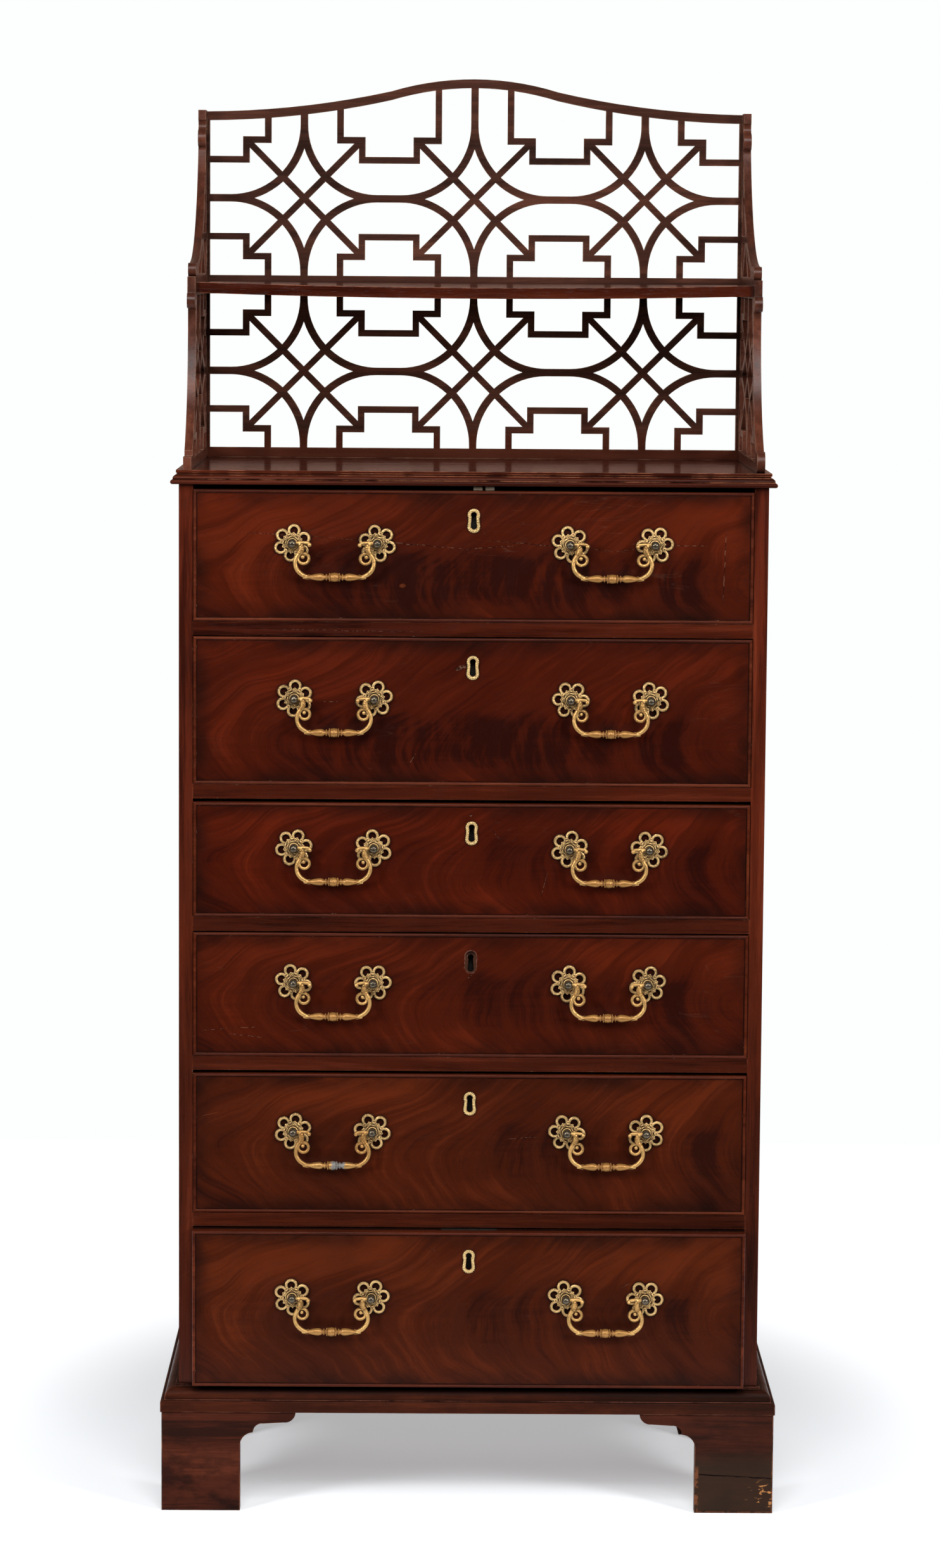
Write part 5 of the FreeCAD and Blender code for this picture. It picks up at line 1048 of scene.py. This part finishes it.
def fitBrasses():
    rosettePattern, ballPattern, bailPattern = modelRosette(), modelPostBall(), modelBail()
    escutcheonPattern = modelEscutcheon()
    pivots = {joint["child"]: Vector(joint["pos_m"]) for joint in frame["joints"]
              if joint["child"].endswith("bail")}
    for number in drawers:
        body = "drawer_%d" % number
        span = handles["topSpan"] if number == 1 else handles["plainSpan"]
        rosettes, balls = [], []
        for side in ("left", "right"):
            pivot = pivots["%s_%s_bail" % (body, side)]
            face = pivot + Vector(millimetres(0, postBall["standoff"], 0))
            swing = placedCopy(bailPattern, "%s_%s_bail_casting" % (body, side), pivot, 0.0,
                               span / handles["plainSpan"])
            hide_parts("%s_bail_%s" % (body, side))
            mended = number == solderLook["drawer"] and side == solderLook["side"]
            metals = (mendedMaterial, mendedMaterial) if mended else (bailMaterial, gripMaterial)
            dress(swing, metals, "%s_%s_bail" % (body, side))
            for end in (-1, 1):
                post = face + Vector(millimetres(end * span / 2, 0, 0))
                turn = math.radians(handles["turns"][number][len(rosettes)])
                rosettes.append(placedCopy(rosettePattern, "rosette", post, turn))
                balls.append(placedCopy(ballPattern, "post_ball", post))
        dress(joinCopies(rosettes, body + "_rosette_castings"), (giltMaterial,), body)
        dress(joinCopies(balls, body + "_post_balls"), (ballMaterial,), body)
        keepFittings(body)
        if number != lostPlate["drawer"]:
            keyhole = Vector((0, face.y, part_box(body + "_cockbead")[1].z - escutcheon["belowTop"]))
            rope = placedCopy(escutcheonPattern, body + "_escutcheon_rope", keyhole)
            dress(rope, (ropeMaterial,), body)
    for pattern in (rosettePattern, ballPattern, bailPattern, escutcheonPattern):
        bpy.data.objects.remove(pattern)


fitBrasses()
print("brasses fitted")

studio = {"floorBack": 2.0, "floorFront": -0.8, "floorHalf": 2.0,
          "floorTones": (rgb(0.9, 0.94, 0.97), rgb(0.92, 0.96, 0.99)), "floorShade": 0.37,
          "floorGlow": 0.85, "glowTone": rgb(0.98, 0.98, 1.0), "glowFrom": 0.42, "glowTo": 0.85,
          "glowMiddle": (0, -0.085, 0), "glowShape": (1, 0.85, 1),
          "sideAngle": 47.0, "sideRise": 15.5, "sideMiddle": 0.85, "sideDistance": 3.4,
          "sideSize": 0.75, "sideTall": 0.9,
          "sidePower": 60.0, "sideAim": (0, -0.1, 0.75),
          "frontHeight": 3.0, "frontDistance": 2.4, "frontSize": 1.6, "frontPower": 64.0,
          "frontAim": (0, -0.15, 1.2), "airInFront": 0.015, "airBehind": 0.3,
          "airTone": rgb(0.98, 1.0, 0.99), "shineTone": rgb(1.1, 0.66, 0.52)}


def makeFloor():
    bpy.ops.object.select_all(action="DESELECT")
    middle = (studio["floorBack"] + studio["floorFront"]) / 2
    bpy.ops.mesh.primitive_plane_add(size=2, location=(0, middle, 0))
    floor = bpy.context.object
    floor.name = "studio_floor"
    floor.scale = (studio["floorHalf"], (studio["floorBack"] - studio["floorFront"]) / 2, 1)
    bpy.ops.object.transform_apply(location=True, rotation=True, scale=True)
    material, tree, shader, spot = startMaterial("pale_floor")
    pale = mixed(tree, noiseOf(tree, spot, 3.0, 2.0), *studio["floorTones"])
    tree.links.new(pale, shader.inputs["Base Color"])
    # the floor glows as painted light: dim under and round the piece as painted shade, plain white away
    # from it
    away = mapped(tree, spot, studio["glowMiddle"], (0, 0, 0), studio["glowShape"])
    away = addNode(tree, "ShaderNodeVectorMath", {0: away}, operation="LENGTH").outputs["Value"]
    glow = ranged(tree, away, studio["glowFrom"], studio["glowTo"], studio["floorShade"],
                  studio["floorGlow"])
    glow = addNode(tree, "ShaderNodeCombineXYZ", {0: glow, 1: glow, 2: glow}).outputs[0]
    glow = mixed(tree, 1.0, glow, studio["glowTone"], "MULTIPLY")
    tree.links.new(glow, shader.inputs["Emission Color"])
    shader.inputs["Emission Strength"].default_value = 1.0
    shader.inputs["Roughness"].default_value = 0.9
    shader.inputs["Specular IOR Level"].default_value = 0.1
    floor.data.materials.append(material)


def addSoftbox(name, spot, aim, wide, tall, power):
    lamp = bpy.data.lights.new(name, "AREA")
    lamp.shape = "RECTANGLE"
    lamp.size = wide
    lamp.size_y = tall
    lamp.energy = power
    holder = bpy.data.objects.new(name, lamp)
    bpy.context.scene.collection.objects.link(holder)
    holder.location = spot
    holder.rotation_euler = (Vector(aim) - Vector(spot)).to_track_quat("-Z", "Y").to_euler()


def makeLights():
    turn, rise = math.radians(studio["sideAngle"]), math.radians(studio["sideRise"])
    away = studio["sideDistance"]
    for side, name in ((-1, "left_softbox"), (1, "right_softbox")):
        spot = (side * away * math.sin(turn) * math.cos(rise), -away * math.cos(turn) * math.cos(rise),
                studio["sideMiddle"] + away * math.sin(rise))
        addSoftbox(name, spot, studio["sideAim"], studio["sideSize"], studio["sideTall"],
                   studio["sidePower"])
    addSoftbox("front_softbox", (0, -studio["frontDistance"], studio["frontHeight"]), studio["frontAim"],
               studio["frontSize"], studio["frontSize"], studio["frontPower"])
    # white behind the piece, dim round the camera, brown in what the polish mirrors
    world = bpy.data.worlds.new("studio_air")
    bpy.context.scene.world = world
    world.use_nodes = True
    tree = world.node_tree
    tree.nodes.clear()
    depth = apart(tree, addNode(tree, "ShaderNodeTexCoord").outputs["Generated"])[1]
    behind = ranged(tree, depth, 0.2, 0.75, studio["airInFront"], studio["airBehind"])
    path = addNode(tree, "ShaderNodeLightPath")
    strength = sums(tree, "MAXIMUM", path.outputs["Is Camera Ray"], behind)
    tint = mixed(tree, path.outputs["Is Glossy Ray"], studio["airTone"], studio["shineTone"])
    air = addNode(tree, "ShaderNodeBackground", {"Color": tint, "Strength": strength})
    addNode(tree, "ShaderNodeOutputWorld", {"Surface": air.outputs[0]})


photoView = {"place": (-0.0320, -5.2007, 1.4005), "yaw": 0.0059, "pitch": 0.1141, "roll": 0.0071,
             "lens": 105.17}


def makeCamera():
    lens = bpy.data.cameras.new("photo_camera")
    lens.lens = photoView["lens"]
    lens.sensor_width = 36.0
    lens.clip_end = 100.0
    camera = bpy.data.objects.new("photo_camera", lens)
    bpy.context.scene.collection.objects.link(camera)
    turn = (Matrix.Rotation(-photoView["yaw"], 4, "Z")
            @ Matrix.Rotation(math.pi / 2 - photoView["pitch"], 4, "X")
            @ Matrix.Rotation(photoView["roll"], 4, "Z"))
    camera.matrix_world = Matrix.Translation(photoView["place"]) @ turn
    bpy.context.scene.camera = camera
    bpy.context.scene.view_settings.view_transform = "Standard"


makeFloor()
makeLights()
makeCamera()
print("studio ready")
